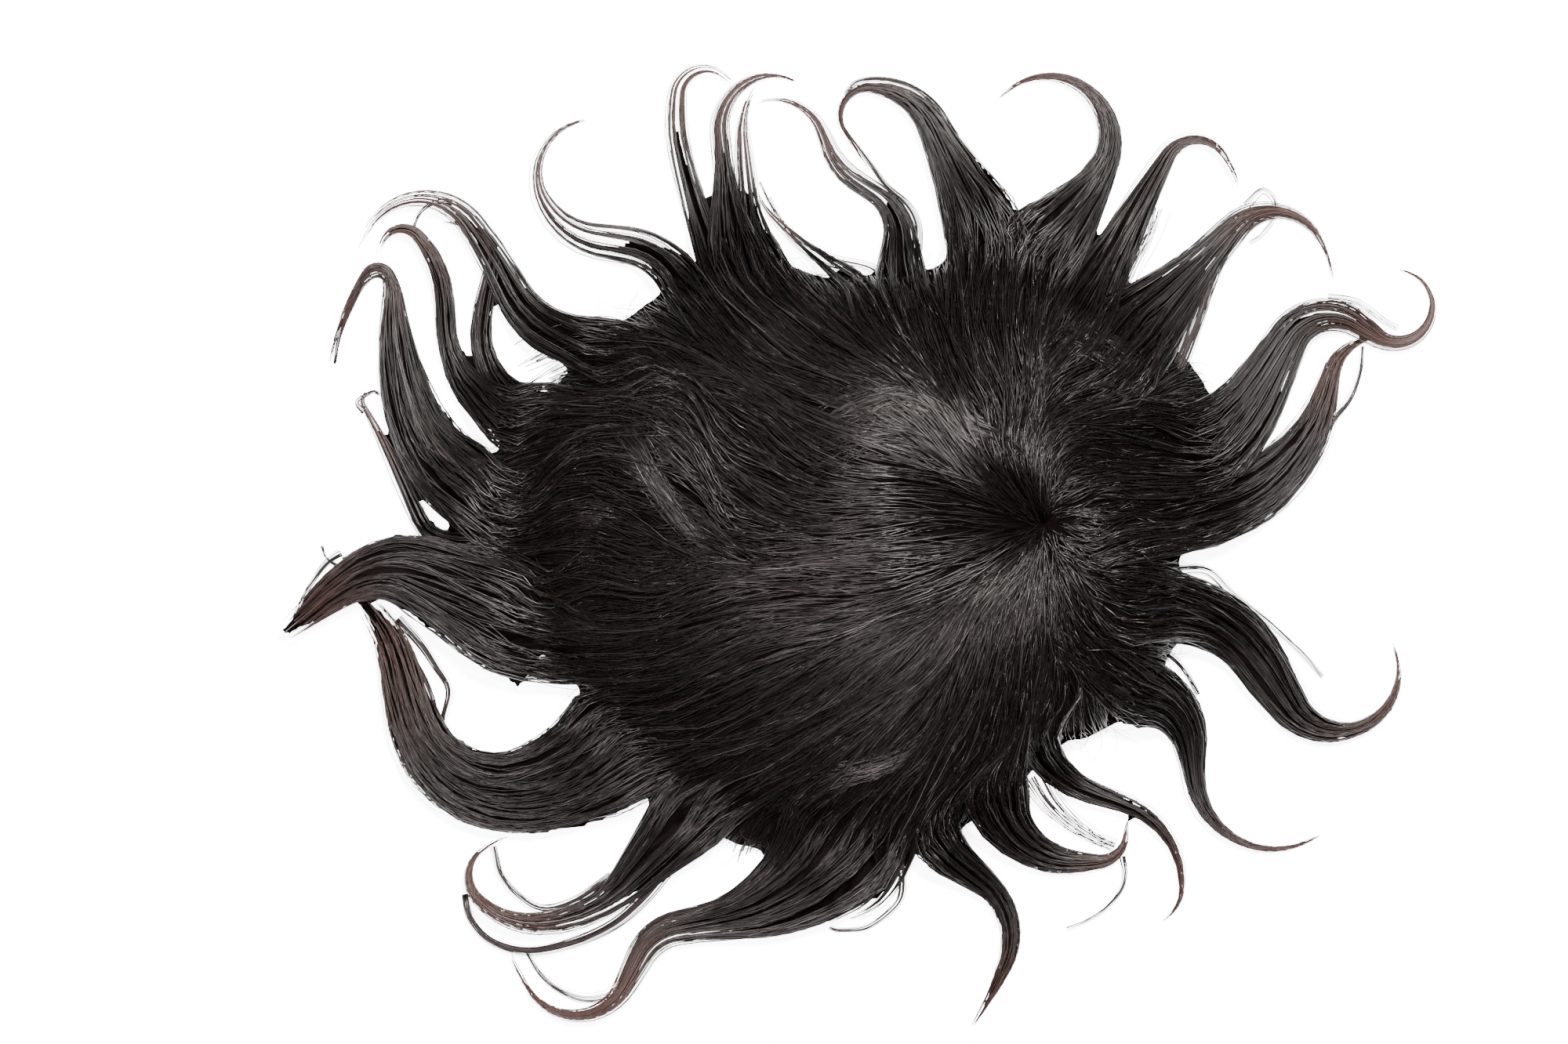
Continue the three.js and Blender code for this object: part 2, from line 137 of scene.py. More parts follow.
# Colours of the hair
HAIR_DARK = (0.0004, 0.0003, 0.0003)
HAIR_LIGHT = (0.0015, 0.0012, 0.0011)
# Lightest colour of the ramp: for the lightest strands, and for the painted sheen that lightens strands
# in places
HAIR_LIGHTEST_AND_SHEEN = tuple(1.9 * channel for channel in HAIR_LIGHT)
TIP_BROWN = (0.013, 0.0065, 0.0055)
HAIR_ROUGHNESS = 0.27

TABLE_REACH = 6.0  # metres from the middle


def table(columns, rows):
    """Rows whose values are read by the names of their columns."""
    row_type = namedtuple("Row", columns)
    return [row_type(*row) for row in rows]


# Lights, in metres and watts
LIGHTS = table("name place size power colour", [
    ("key", (0.36, 0.72, 1.95), (0.4, 0.3), 400, (1, 0.94, 0.9)),
    ("fill", (-0.4, -0.16, 2.0), (0.5, 0.5), 215, (1, 0.87, 0.86)),
    ("front", (-1.5, 0.2, 1.8), (0.5, 0.5), 25, (1, 0.95, 0.9)),
])

# How dense and loose locks differ: width of a bundle, degrees between stations, how far strands
# draw together, how far bundles wander, share of stray strands, how much and how soon the wander
# calms down, how early the tips turn brown, and how many strands there are
DENSE, LOOSE = table("bundle turn gather wander strays calm calming browning density", [
    (3, 15, 0.25, 0.12, 0.04, 0.7, 3, 1, 1),
    (4.5, 10, 0.32, 0.05, 0.11, 0.9, 8, 1.3, 1.15),
])

# Tufts that lie on top of the cover: their hairs, half-width, height over the cover, tone and the
# points that they pass. Their tone paints light too: the lighter tufts round the whorl, the ridge,
# the back crest and the front gleam carry a painted highlight, and the two darker front arches
# carry painted shade.
TUFTS = table("name hairs spread lift tone points", [
    ("ridge", 110, 5, 3.2, 0.68, [(64, 9), (57, 24), (46, 35), (32, 43), (23, 58), (17, 76), (9, 94)]),
    ("ridge_left", 90, 6, 2.6, 0.68, [(56, 26), (36, 42), (12, 54), (-6, 52), (-20, 46), (-34, 36)]),
    ("behind_whorl", 60, 7, 1.2, 0.68, [(66, 4), (75, 6), (87, 5), (99, 6), (112, 8)]),
    ("arc", 80, 11, 2, 0.68, [(38, 22), (18, 34), (-2, 38), (-22, 34), (-46, 26)]),
    ("below_whorl", 70, 5, 2.2, 0.68, [(65, -3), (62, -16), (56, -34), (46, -56), (34, -78)]),
    ("back_crest", 50, 5, 1.5, 0.68, [(62, 72), (74, 78), (90, 72), (106, 64), (122, 58)]),
    ("front_arch_inner", 80, 4, 1.8, 0.2,
     [(-52, -14), (-70, -3), (-83, 11), (-93, 24), (-107, 30), (-121, 25), (-133, 13)]),
    ("front_arch_outer", 90, 5, 2, 0.3,
     [(-39, -14), (-69, 2), (-84, 17), (-95, 35), (-106, 46), (-124, 46), (-148, 35)]),
    ("front_sweep", 100, 5, 2.2, 0.6,
     [(-66, -33), (-88, -36), (-108, -38), (-124, -34), (-136, -24), (-144, -10), (-147, 1)]),
    ("front_line", 30, 2, 1.6, 0.6, [(-60, -18), (-80, -19.5), (-98, -20), (-112, -16), (-125, -12)]),
    ("front_gleam", 50, 5, 2.6, 0.68, [(-94, 2), (-105, 6), (-117, 6), (-129, 2), (-138, -4)]),
    ("front_high_flow", 90, 9, 2, 0.5,
     [(-56, 32), (-71, 50), (-86, 63), (-104, 70), (-124, 69), (-140, 61)]),
    ("low_arc", 80, 5, 2.2, 0.5,
     [(36, -58), (22, -78), (4, -90), (-14, -95), (-33, -101), (-49, -113), (-57, -130)]),
    ("low_wave", 60, 5, 2, 0.5,
     [(10, -36), (-8, -54), (-18, -72), (-30, -86), (-48, -93), (-63, -104), (-70, -120)]),
])

# Swells and hollows of the cover. at: middle, in half-lengths and half-widths of the base. size:
# half-axes in half-lengths of the base. turn: degrees of the long one. rise: share of HAIR_DEPTH.
SWELLS = table("name at size turn rise", [
    ("whorl_hollow", (0.58, 0.03), (0.2, 0.16), 70, -0.5),
    ("crest_before_whorl", (-0.04, 0.12), (0.5, 0.2), 92, 0.35),
    ("ridge_to_whorl", (0.36, 0.44), (0.36, 0.12), -47, 0.45),
    ("back_ridge", (0.84, 0.76), (0.34, 0.12), -24, 0.35),
    ("back_hollow", (0.98, 0.32), (0.26, 0.16), -10, -0.35),
    ("side_hollow", (-0.27, 0.8), (0.24, 0.16), 10, -0.25),
    ("side_swell", (-0.46, 0.98), (0.2, 0.12), 10, 0.2),
    ("front_swell", (-0.84, 0.45), (0.3, 0.18), 15, 0.25),
    ("front_hollow", (-0.82, 0.0), (0.2, 0.14), 0, -0.2),
    ("left_swell", (-0.12, -1.1), (0.26, 0.12), 20, 0.2),
])

# Painted sheen and shade: where the strands' colour is lightened as a painted highlight (and made
# glossier), or darkened as painted shade (and made duller): middle, half-axes, turn of the long one
# in degrees, and what is added to the strands' tone there
PAINTED_SHEEN_AND_SHADE = table("name at size turn gain", [
    ("arc_crest", (1, 24), (26, 8), 97, 0.25),
    ("beside_ridge", (19, 34), (15, 7), -50, -0.4),
    ("behind_arc", (-24, 36), (20, 10), 97, -0.35),
    ("front_stream", (-24, -17), (40, 15), 10, 0.45),
    ("low_stream", (32, -28), (28, 8), 43, 0.15),
    ("ridge_low", (47, 31), (30, 8), -51, 0.35),
    ("ridge_high", (15, 65), (18, 8), -70, 0.15),
    ("back_ridge", (100, 66), (28, 7), -30, 0.45),
    ("pocket", (38, 9), (22, 9), -12, -0.5),
    ("back_hollow", (102, 37), (36, 18), -10, -0.5),
    ("top_hollow", (-34, 62), (32, 15), 20, -0.5),
    ("behind_ridge", (52, 62), (17, 15), -40, -0.45),
    ("low_hollow", (20, -70), (38, 20), 55, -0.5),
    ("left_hollow", (-62, -103), (34, 14), 40, -0.3),
    ("left_glow", (-9, -105), (20, 10), 55, 0.55),
    ("front_crest", (-124, 27), (16, 7), 30, 0.25),
    ("front_gleam", (-117, 5), (14, 5), -10, 0.35),
    ("front_hollow", (-98, -5), (12, 9), 0, -0.4),
    ("side_gleam", (-55, 88), (22, 8), 15, 0.25),
    ("front_streaks", (-80, 14), (12, 19), 0, -0.5),
])

# How far the hair hangs out past the base cap's edge: (bearing in degrees, share of HEM)
HEM_REACH = [
    (12, 1.3), (27, 1.95), (43, 1.3), (64, 2.1), (82, 0.7), (99, 0.65), (119, 1.65), (136, 1.6),
    (153, 1.75), (170, 2.4), (188, 2.2), (208, 1.45), (231, 2.1), (247, 2.3), (266, 1.9), (281, 1.8),
    (297, 1.2), (308, 0.5), (318, 1), (329, 1), (341, 0.95), (354, 0.45),
]

# How the hair runs from the whorl to each bearing of the hem: three points that it passes
FLOW = table("bearing near middle far", [
    (4, (76, 0), (92, -1), (108, 4)),
    (15, (66, 30), (84, 42), (110, 42)),
    (27, (63, 30), (80, 48), (104, 56)),
    (38, (61, 30), (72, 50), (87, 65)),
    (48, (58, 32), (64, 55), (74, 75)),
    (60, (54, 32), (56, 60), (61, 88)),
    (70, (48, 30), (44, 56), (41, 86)),
    (85, (44, 26), (29, 48), (18, 76)),
    (97, (42, 28), (24, 52), (4, 80)),
    (113, (38, 26), (12, 56), (-16, 80)),
    (128, (32, 22), (-8, 52), (-50, 72)),
    (147, (22, 26), (-28, 40), (-74, 62)),
    (160, (12, 16), (-42, 20), (-86, 56)),
    (170, (10, 4), (-48, 5), (-94, 38)),
    (180, (12, -8), (-45, -10), (-100, 0)),
    (190, (14, -14), (-40, -20), (-98, -30)),
    (200, (20, -20), (-35, -34), (-92, -52)),
    (219, (28, -26), (-18, -52), (-66, -74)),
    (236, (34, -26), (0, -58), (-46, -88)),
    (262, (46, -24), (25, -58), (6, -95)),
    (273, (52, -24), (38, -58), (24, -95)),
    (285, (56, -25), (47, -55), (46, -86)),
    (294, (61, -25), (58, -55), (54, -82)),
    (307, (65, -24), (66, -45), (66, -66)),
    (329, (70, -20), (78, -38), (90, -53)),
    (346, (73, -10), (86, -20), (104, -30)),
])

# Sections of hair round the crown, each between two bearings
SECTIONS = {
    "back_hair": (-42, 53.5),
    "right_hair": (53.5, 137),
    "front_hair": (137, 229.4),
    "left_hair": (229.4, 318),
}

# The part's locks: bearing of the root, heading there, and arcs as (share of HAIR_LENGTH, heading
# reached). Widths are shares of LOCK_WIDTH and lifts of LOCK_DEPTH, at the root, a third, two
# thirds and the tip.
LOCKS = table("name bearing heading arcs widths lifts", [
    ("back_wave", 4, 10, [(0.47, 76), (0.06, 76), (0.15, 6)],
     [1, 0.73, 0.37, 0.07], [0, 0, 0, 0.1]),
    ("back_sweep", 15, 34, [(0.2, 60), (0.15, 60), (0.21, -34), (0.06, -34), (0.36, 178)],
     [1.2, 0.57, 0.13, 0.04], [0, 0.15, 0.2, 0]),
    ("back_plume", 38, 45, [(0.38, 48), (0.26, -58), (0.12, -84)],
     [1.27, 0.5, 0.13, 0.04], [0, 0, 0, 0.1]),
    ("back_curl", 48, 61, [(0.43, 61), (0.17, -52), (0.12, -80)],
     [0.8, 0.47, 0.16, 0.04], [0, 0, 0.3, 0.5]),
    ("right_crescent", 60, 46, [(0.2, 54), (0.08, 71), (0.46, 230)],
     [1.13, 0.4, 0.15, 0.04], [0, 0.2, 0.3, 0]),
    ("right_swan", 70, 104, [(0.1, 118), (0.22, 116), (0.21, 178), (0.16, 300), (0.14, 304)],
     [1.13, 0.5, 0.1, 0.04], [0, 0.1, 0.3, 0.1]),
    ("right_wisp", 85, 88, [(0.1, 92), (0.14, 147), (0.06, 147), (0.12, 110), (0.04, 112), (0.22, 205)],
     [0.67, 0.23, 0.08, 0.04], [0, 0, 0.1, 0]),
    ("right_stray", 97, 144, [(0.25, 136), (0.08, 112)],
     [0.33, 0.17, 0.08, 0.04], [0, 0.1, 0.1, 0]),
    ("right_fork_inner", 113, 112, [(0.12, 96), (0.2, 94), (0.14, 58)],
     [0.6, 0.27, 0.16, 0.05], [0, 0, 0, 0]),
    ("right_fork_middle", 117, 106, [(0.15, 94), (0.17, 96), (0.18, 24), (0.12, -30)],
     [0.8, 0.25, 0.13, 0.04], [0, 0.1, 0.3, 0]),
    ("right_fork_outer", 121, 112, [(0.3, 103), (0.16, 82), (0.15, -35), (0.06, -50)],
     [0.47, 0.3, 0.22, 0.04], [0, 0, 0.2, 0.4]),
    ("right_drift", 128, 122, [(0.18, 172), (0.07, 170), (0.19, 116), (0.28, 5)],
     [0.6, 0.47, 0.15, 0.04], [0, 0, 0, 0]),
    ("front_high", 147, 172, [(0.27, 117), (0.2, 126), (0.32, 240), (0.13, 254)],
     [0.8, 0.43, 0.14, 0.04], [0, 0.2, 0.6, 0.2]),
    ("front_thumb", 160, 160, [(0.27, 84), (0.1, 76), (0.07, 80), (0.12, 160), (0.08, 180)],
     [0.47, 0.3, 0.2, 0.04], [0, 0, 0.1, 0]),
    ("front_finger", 162, 168, [(0.33, 92), (0.07, 92), (0.19, 132), (0.13, 262), (0.05, 272)],
     [0.8, 0.3, 0.24, 0.04], [0, 0, 0.4, 0.6]),
    ("front_brush", 175, 150, [(0.32, 108), (0.28, 90), (0.07, 110), (0.08, 236), (0.26, 260)],
     [1.2, 0.73, 0.16, 0.04], [0, 0, 0, 0]),
    ("front_curl", 182, 178, [(0.12, 165), (0.09, 114), (0.23, 116), (0.1, 122), (0.05, 20)],
     [0.3, 0.23, 0.15, 0.05], [0, 0, 0, 0]),
    ("front_beak", 192, 152, [(0.25, 160), (0.16, 205), (0.1, 221), (0.15, 218)],
     [1.6, 1.2, 0.6, 0.27], [0, 0.25, 0.6, 0.6]),
    ("front_return", 219, 224, [(0.27, 188), (0.37, 108), (0.16, 102), (0.2, 140)],
     [1.67, 1.03, 0.7, 0.3], [0, 0, 0, 0]),
    ("left_loop", 236, 228, [(0.22, 228), (0.28, 181), (0.17, 134), (0.14, 40), (0.1, 14)],
     [1.07, 0.37, 0.13, 0.04], [0, 0.2, 0.6, 0.1]),
    ("left_tail", 262, 232,
     [(0.37, 190), (0.1, 190), (0.13, 243), (0.09, 243), (0.3, 125), (0.12, 110)],
     [1.73, 0.5, 0.17, 0.04], [0, 0.1, 0.4, 0]),
    ("left_frill", 273, 272, [(0.08, 250), (0.13, 205), (0.1, 200)],
     [0.6, 0.3, 0.15, 0.05], [0, 0, 0, 0]),
    ("left_spike", 281, 304, [(0.11, 326), (0.07, 320), (0.22, 248), (0.2, 236)],
     [0.67, 0.33, 0.23, 0.04], [0, 0, 0.1, 0]),
    ("left_scoop", 294, 284, [(0.26, 353), (0.09, 366), (0.1, 440), (0.05, 452)],
     [0.87, 0.5, 0.23, 0.04], [0, 0, 0, 0.1]),
    ("left_arc", 307, 296, [(0.2, 342), (0.09, 340), (0.29, 266), (0.1, 205)],
     [0.53, 0.27, 0.13, 0.04], [0, 0.2, 0.2, 0]),
    ("back_tail", 329, 348, [(0.2, 276), (0.09, 277), (0.44, 397)],
     [0.93, 0.33, 0.12, 0.04], [0, 0, 0, 0]),
    ("back_swan", 346, 350, [(0.25, 302), (0.14, 304), (0.49, 478)],
     [0.9, 0.7, 0.22, 0.04], [0, 0.1, 0.2, 0]),
])

# Locks whose hair lies so loosely that the table shows between its bundles, and the share of
# their length at which the core under them ends
LOOSE_LOCKS = {
    "back_sweep": 0.6, "back_plume": 0.5, "right_wisp": 0.3, "right_stray": 0.1,
    "right_fork_inner": 0.4, "right_fork_middle": 0.55, "right_fork_outer": 0.55, "right_drift": 0.25,
    "front_high": 0.7, "left_loop": 0.62, "left_tail": 0.7, "left_frill": 0.5,
}

# Thin second strands that split off each section's locks: their hairs, height at the root,
# half-width and the points that they pass
WISPS = {
    "left_hair": table("name hairs lift spread points", [
        ("loop_branch", 26, 5, 0.8,
         [(-105, -136), (-121, -146), (-135, -148), (-148, -137), (-152, -124)]),
        ("loop_second", 46, 5, 1.1,
         [(-84, -134), (-92, -144), (-104, -154.5), (-119, -161.5), (-137, -165.5), (-152, -162),
          (-161, -153), (-163.5, -143)]),
        ("tail_second", 16, 2, 0.8,
         [(-101, -180), (-108, -184), (-118, -184.5), (-128, -180), (-135, -173), (-139, -166)]),
        ("frill_second", 14, 3, 0.8,
         [(9, -130), (9, -143), (4, -150), (-5, -156), (-15, -157), (-19, -156)]),
        ("scoop_tail", 10, 3, 0.8,
         [(97, -128), (98, -135), (96, -142), (90, -149), (82, -154), (75, -157)]),
        ("scoop_veil", 26, 5, 2, [(62, -96), (68, -106), (76, -114), (85, -120), (94, -124)]),
    ]),
    "front_hair": table("name hairs lift spread points", [
        ("high_end", 12, 4, 0.8, [(-168, 131), (-175, 131), (-181, 127), (-184, 121)]),
        ("brush_end", 14, 3, 0.8,
         [(-191, 96), (-197, 102), (-203, 99), (-208, 90), (-213, 78), (-215, 67)]),
        ("curl_end", 10, 1, 0.8, [(-203, 48), (-206, 52), (-200, 56), (-197, 55)]),
        ("beak_top", 12, 6, 0.8, [(-205, -18), (-212, -14), (-218, -10), (-220, -5)]),
        ("beak_side", 14, 6, 0.8, [(-212, -8), (-218, -12), (-224, -20), (-229, -29), (-232, -37)]),
        ("beak_fine", 9, 7, 0.8, [(-185, -3), (-200, -6), (-212, -10)]),
        ("return_inner", 34, 4, 0.9,
         [(-190, -34), (-181, -44), (-175, -53), (-170, -62), (-172, -73), (-173, -82)]),
        ("return_middle", 22, 4, 0.7,
         [(-190, -38), (-184, -49), (-179, -58), (-175.5, -68), (-175, -76), (-176, -84)]),
        ("beak_root", 130, 9, 3,
         [(-106, -51), (-117, -53.5), (-128, -54), (-139, -52.5), (-149, -50), (-158, -47)]),
        ("beak_web", 60, 10, 1.2, [(-110, -48), (-121, -50), (-132, -51), (-142, -49), (-151, -46)]),
    ]),
    "back_hair": table("name hairs lift spread points", [
        ("tail_fray", 14, 4, 0.8, [(108, -46), (115, -48), (122, -55), (127, -64)]),
        ("swan_fray", 12, 6, 0.8,
         [(118, -15), (130, -15), (140, -24), (155, -36), (168, -48), (176, -57)]),
        ("wave_tail", 14, 4, 0.8, [(176, 34), (180, 44), (187, 53), (191, 64), (192, 74)]),
        ("sweep_fray", 8, 4, 0.8, [(178, 93), (190, 91), (200, 84), (206, 81)]),
        ("plume_loop", 6, 4, 0.8,
         [(145, 130), (152, 136), (157, 132), (157, 125), (152, 118), (147, 115)]),
        ("plume_edge", 60, 9, 1.8,
         [(108, 50), (117, 62), (123, 75), (128, 88), (133, 102), (139, 116), (143, 124)]),
        ("curl_veil", 32, 9, 3, [(90, 82), (95, 95), (101, 107), (107, 119), (110, 129)]),
    ]),
    "right_hair": table("name hairs lift spread points", [
        ("swan_outer", 16, 4, 0.8,
         [(36, 146), (32, 155), (24, 168.5), (14, 176.5), (2, 180), (-8, 179), (-13, 174)]),
        ("stray_far", 7, 5, 0.8,
         [(3, 100), (-4, 105), (-18, 108.5), (-31, 115.5), (-41, 127), (-47, 139)]),
        ("stray_near", 7, 5, 0.8, [(-4, 97), (-11, 103), (-23, 107), (-35, 118), (-43, 133)]),
        ("wisp_second", 16, 3, 0.8,
         [(16, 112), (16, 122), (12, 130), (4, 137), (-2, 145), (-8, 153), (-13, 160)]),
    ]),
}

def smooth_step(value):
    """Eases from 0 to 1 as the value goes from 0 to 1."""
    value = np.clip(value, 0, 1)
    return value * value * (3 - 2 * value)


def outline_radius(bearing):
    """Distance of the hair's outline from the middle of the base, at bearings in radians."""
    degrees = np.degrees(bearing) % 360
    rows = np.array(HEM_REACH, float)
    after = np.searchsorted(rows[:, 0], degrees, side="right") % len(rows)
    low, high = rows[after - 1], rows[after]
    share = ((degrees - low[..., 0]) % 360) / ((high[..., 0] - low[..., 0]) % 360)
    out = HEM * (low[..., 1] + (high[..., 1] - low[..., 1]) * smooth_step(share))
    across = np.cos(bearing) / (BASE_LENGTH / 2 + out), np.sin(bearing) / (BASE_WIDTH / 2 + out)
    return 1 / np.hypot(*across)


def hem_points(degrees, share=1, out=0):
    """Points at bearings in degrees, at a share of the way to the outline and a length beyond."""
    angle = np.radians(degrees)
    reach = outline_radius(angle) * share + out
    return reach[:, None] * np.stack([np.cos(angle), np.sin(angle)], axis=1)


def oval(xy, middle, size, turn):
    """1 at the middle of a turned oval, and falling to 0 around it."""
    along = math.radians(turn)
    dx, dy = xy[..., 0] - middle[0], xy[..., 1] - middle[1]
    u = (dx * math.cos(along) + dy * math.sin(along)) / size[0]
    v = (dy * math.cos(along) - dx * math.sin(along)) / size[1]
    return np.exp(-(u * u + v * v))


def cover_height(xy):
    """Height of the hair cover's surface, before the hem rounds off."""
    out = HEM * COVER_SPREAD
    share = np.hypot(xy[..., 0] / (BASE_LENGTH / 2 + out), xy[..., 1] / (BASE_WIDTH / 2 + out))
    dome = np.maximum(0, 1 - share**DOME_SPREAD) ** COVER_FULLNESS
    height = HEM_HEIGHT + (BASE_HEIGHT + HAIR_DEPTH - HEM_HEIGHT) * dome
    for swell in SWELLS:
        middle = swell.at[0] * BASE_LENGTH / 2, swell.at[1] * BASE_WIDTH / 2
        size = [share * BASE_LENGTH / 2 for share in swell.size]
        height = height + swell.rise * HAIR_DEPTH * oval(xy, middle, size, swell.turn)
    return height


def painted_sheen_and_shade(xy):
    """What the table of painted sheen and shade adds to the tone of strands at a place."""
    return sum(row.gain * oval(xy, row.at, row.size, row.turn) for row in PAINTED_SHEEN_AND_SHADE)


def hem_share(xy):
    """How far out a point is, as a share of the way to the outline."""
    x, y = xy[..., 0], xy[..., 1]
    return np.hypot(x, y) / outline_radius(np.arctan2(y, x))


def hem_edge(xy):
    """The share of its height that the hair keeps as the hem rounds off."""
    return np.maximum(0, 1 - np.minimum(hem_share(xy), 1) ** HEM_SHARPNESS) ** HEM_ROUNDING


def flow_point(column, degrees):
    """The FLOW table's point in one column, at any bearing."""
    bearings = [row.bearing for row in FLOW]
    points = np.array([getattr(row, column) for row in FLOW], float)
    return np.stack([np.interp(degrees, bearings, axis, period=360) for axis in points.T], axis=-1)


def spline(points, tangents, share):
    """Points (n, k, 2) with their tangents, run through at shares (n, m) from 0 to 1."""
    count = points.shape[1]
    place = np.clip(share, 0, 1) * (count - 1)
    step = np.minimum(place.astype(int), count - 2)
    t = (place - step)[..., None]
    rows = np.arange(len(points))[:, None]
    p0, p1 = points[rows, step], points[rows, step + 1]
    m0, m1 = tangents[rows, step], tangents[rows, step + 1]
    return (
        (2 * t**3 - 3 * t**2 + 1) * p0 + (t**3 - 2 * t**2 + t) * m0
        + (3 * t**2 - 2 * t**3) * p1 + (t**3 - t**2) * m1
    )


def sideways(xy, distance):
    """Runs of points moved to their right."""
    step = np.gradient(xy, axis=1)
    step /= np.maximum(np.linalg.norm(step, axis=2, keepdims=True), 1e-6)
    return xy + np.stack([step[..., 1], -step[..., 0]], axis=-1) * distance[..., None]


def cover_paths(degrees, ends, headings, share):
    """Runs of hair from the whorl, past the FLOW points of these bearings, to their ends."""
    near, middle, far = (flow_point(column, degrees) for column in ("near", "middle", "far"))
    whorl = np.broadcast_to(np.array(WHORL, float), near.shape)
    leaving = near - whorl
    leaving = leaving / np.linalg.norm(leaving, axis=1, keepdims=True)
    points = np.stack([whorl + WHORL_RADIUS * leaving, near, middle, far, ends], axis=1)
    tangents = np.empty_like(points)
    tangents[:, 1:-1] = (points[:, 2:] - points[:, :-2]) / 2
    tangents[:, 0] = points[:, 1] - points[:, 0]
    last = np.linalg.norm(points[:, -1] - points[:, -2], axis=1, keepdims=True)
    tangents[:, -1] = last * np.stack([np.cos(headings), np.sin(headings)], axis=1)
    angle = np.radians(degrees)[:, None]
    phase = 2.1 * np.sin(3 * angle) + 1.3 * np.sin(5 * angle)
    room = np.sin(math.pi * np.clip(share, 0, 1)) * smooth_step((share - 0.15) / 0.3)
    return sideways(spline(points, tangents, share), FLOW_SWING * room * np.sin(7 * share + phase))


def arrival(degrees, ends):
    """The heading in which the hair of these bearings comes to its ends."""
    x, y = (ends - flow_point("far", degrees)).T
    return np.arctan2(y, x)


def lock_course(lock):
    """A lock's middle line from its root, in small steps: run, x, y and heading."""
    runs, headings = [0.0], [math.radians(lock.heading)]
    for share, reached in lock.arcs:
        steps = max(8, int(share * HAIR_LENGTH / 1.5))
        span = share * HAIR_LENGTH
        start, before = runs[-1], headings[-1]
        turn = math.radians(reached) - before
        for step in range(1, steps + 1):
            runs.append(start + span * step / steps)
            headings.append(before + turn * step / steps)
    runs, headings = np.array(runs), np.array(headings)
    middle = (headings[1:] + headings[:-1]) / 2
    step = np.diff(runs)
    x = np.concatenate([[0], np.cumsum(step * np.cos(middle))])
    y = np.concatenate([[0], np.cumsum(step * np.sin(middle))])
    return runs, x, y, headings


def territories():
    """Each lock's reach of bearings on the cover, half way to its neighbours or its own width."""
    made = {}
    for i, lock in enumerate(LOCKS):
        own = math.degrees(lock.widths[0] * LOCK_WIDTH / 2 / (BASE_LENGTH / 2 + HEM))
        before = (lock.bearing - LOCKS[i - 1].bearing) % 360 / 2
        after = (LOCKS[(i + 1) % len(LOCKS)].bearing - lock.bearing) % 360 / 2
        made[lock.name] = max(own, before), max(own, after)
    return made


TERRITORY = territories()


class Relief:
    """Heights of the finished core's upper surface, on a grid."""

    def __init__(self, core):
        (x0, y0, _), (x1, y1, _) = (np.array(corner) / MM - BASE_MIDDLE for corner in cad_box)
        self.low = np.array([x0, y0])
        self.shape = int((x1 - x0) / GRID_STEP) + 2, int((y1 - y0) / GRID_STEP) + 2
        heights = np.zeros(self.shape)
        tree = BVHTree.FromPolygons(
            [v.co for v in core.data.vertices], [tuple(p.vertices) for p in core.data.polygons]
        )
        sky, down = 0.1, Vector((0, 0, -1))
        for i in range(self.shape[0]):
            for j in range(self.shape[1]):
                x, y = self.low + GRID_STEP * np.array([i, j]) + BASE_MIDDLE[:2]
                hit = tree.ray_cast(Vector((x * MM, y * MM, sky)), down)[0]
                if hit is not None:
                    heights[i, j] = hit.z / MM
        soft = heights
        for _ in range(GRID_SMOOTHING):
            for axis in (0, 1):
                soft = soft / 2 + (np.roll(soft, 1, axis) + np.roll(soft, -1, axis)) / 4
        self.heights = np.maximum(soft, heights)

    def at(self, xy):
        place = (xy[..., :2] - self.low) / GRID_STEP
        place = np.clip(place, 0, np.array(self.shape) - 1.001)
        i, j = np.moveaxis(place.astype(int), -1, 0)
        u, v = place[..., 0] - i, place[..., 1] - j
        h = self.heights
        return (
            h[i, j] * (1 - u) * (1 - v) + h[i + 1, j] * u * (1 - v)
            + h[i, j + 1] * (1 - u) * v + h[i + 1, j + 1] * u * v
        )


def wave_of(run, length, phase=0):
    """A wave along a run of hair, from -1 to 1."""
    return np.sin(2 * math.pi * run / length + phase)


def waviness(run, rng, length):
    """A gentle wave along each strand, different in each row."""
    phase = rng.uniform(0, 2 * math.pi, (len(run), 1))
    return wave_of(run, rng.uniform(0.75, 1.35, (len(run), 1)) * length, phase)


def front_wave(degrees, share, run):
    """The waves that cross the hair in front: how strong they are, and their place in the wave."""
    across = np.clip(1 - np.abs(degrees - FRONT_BEARING) / FRONT_REACH, 0, 1)[:, None]
    strength = smooth_step(across) * smooth_step((share - 0.35) / 0.3)
    phase = np.radians(degrees * FRONT_TWIST)[:, None]
    return strength, 2 * math.pi * run / FRONT_WAVE + phase


def thickness(rng, count, spread, local, growth, loss, since):
    """Radii along strands: they grow at the root, and thin from a share of the length on."""
    own = STRAND_RADIUS * rng.uniform(*spread, count)[:, None]
    ending = smooth_step((local - since) / (1 - since))
    return own * (np.minimum(1, 0.3 + local * growth) * (1 - loss * ending))


def strand_block(xy, z, radii, tone, tip):
    """A block of strands: points, radii and tip for each station, and a tone for each strand."""
    z = np.maximum(z, radii + TABLE_CLEARANCE)
    return {
        "points": np.concatenate([xy, z[..., None]], axis=2), "radii": radii,
        "tone": np.clip(tone, 0, 1), "tip": np.broadcast_to(tip, z.shape),
    }


def lock_root(lock):
    """Where a lock's middle line leaves the hem."""
    angle = math.radians(lock.bearing)
    return outline_radius(np.array(angle)) * np.array([math.cos(angle), math.sin(angle)])


def lock_sizes(lock, progress):
    """Width, depth and lift of a lock at shares of its length."""
    columns = np.linspace(0, 1, len(lock.widths))
    width = np.maximum(TIP_WIDTH, np.interp(progress, columns, lock.widths) * LOCK_WIDTH)
    depth = np.minimum(LOCK_DEPTH, TIP_DEPTH + DEPTH_PER_WIDTH * width)
    return width, depth, np.interp(progress, columns, lock.lifts) * LOCK_DEPTH


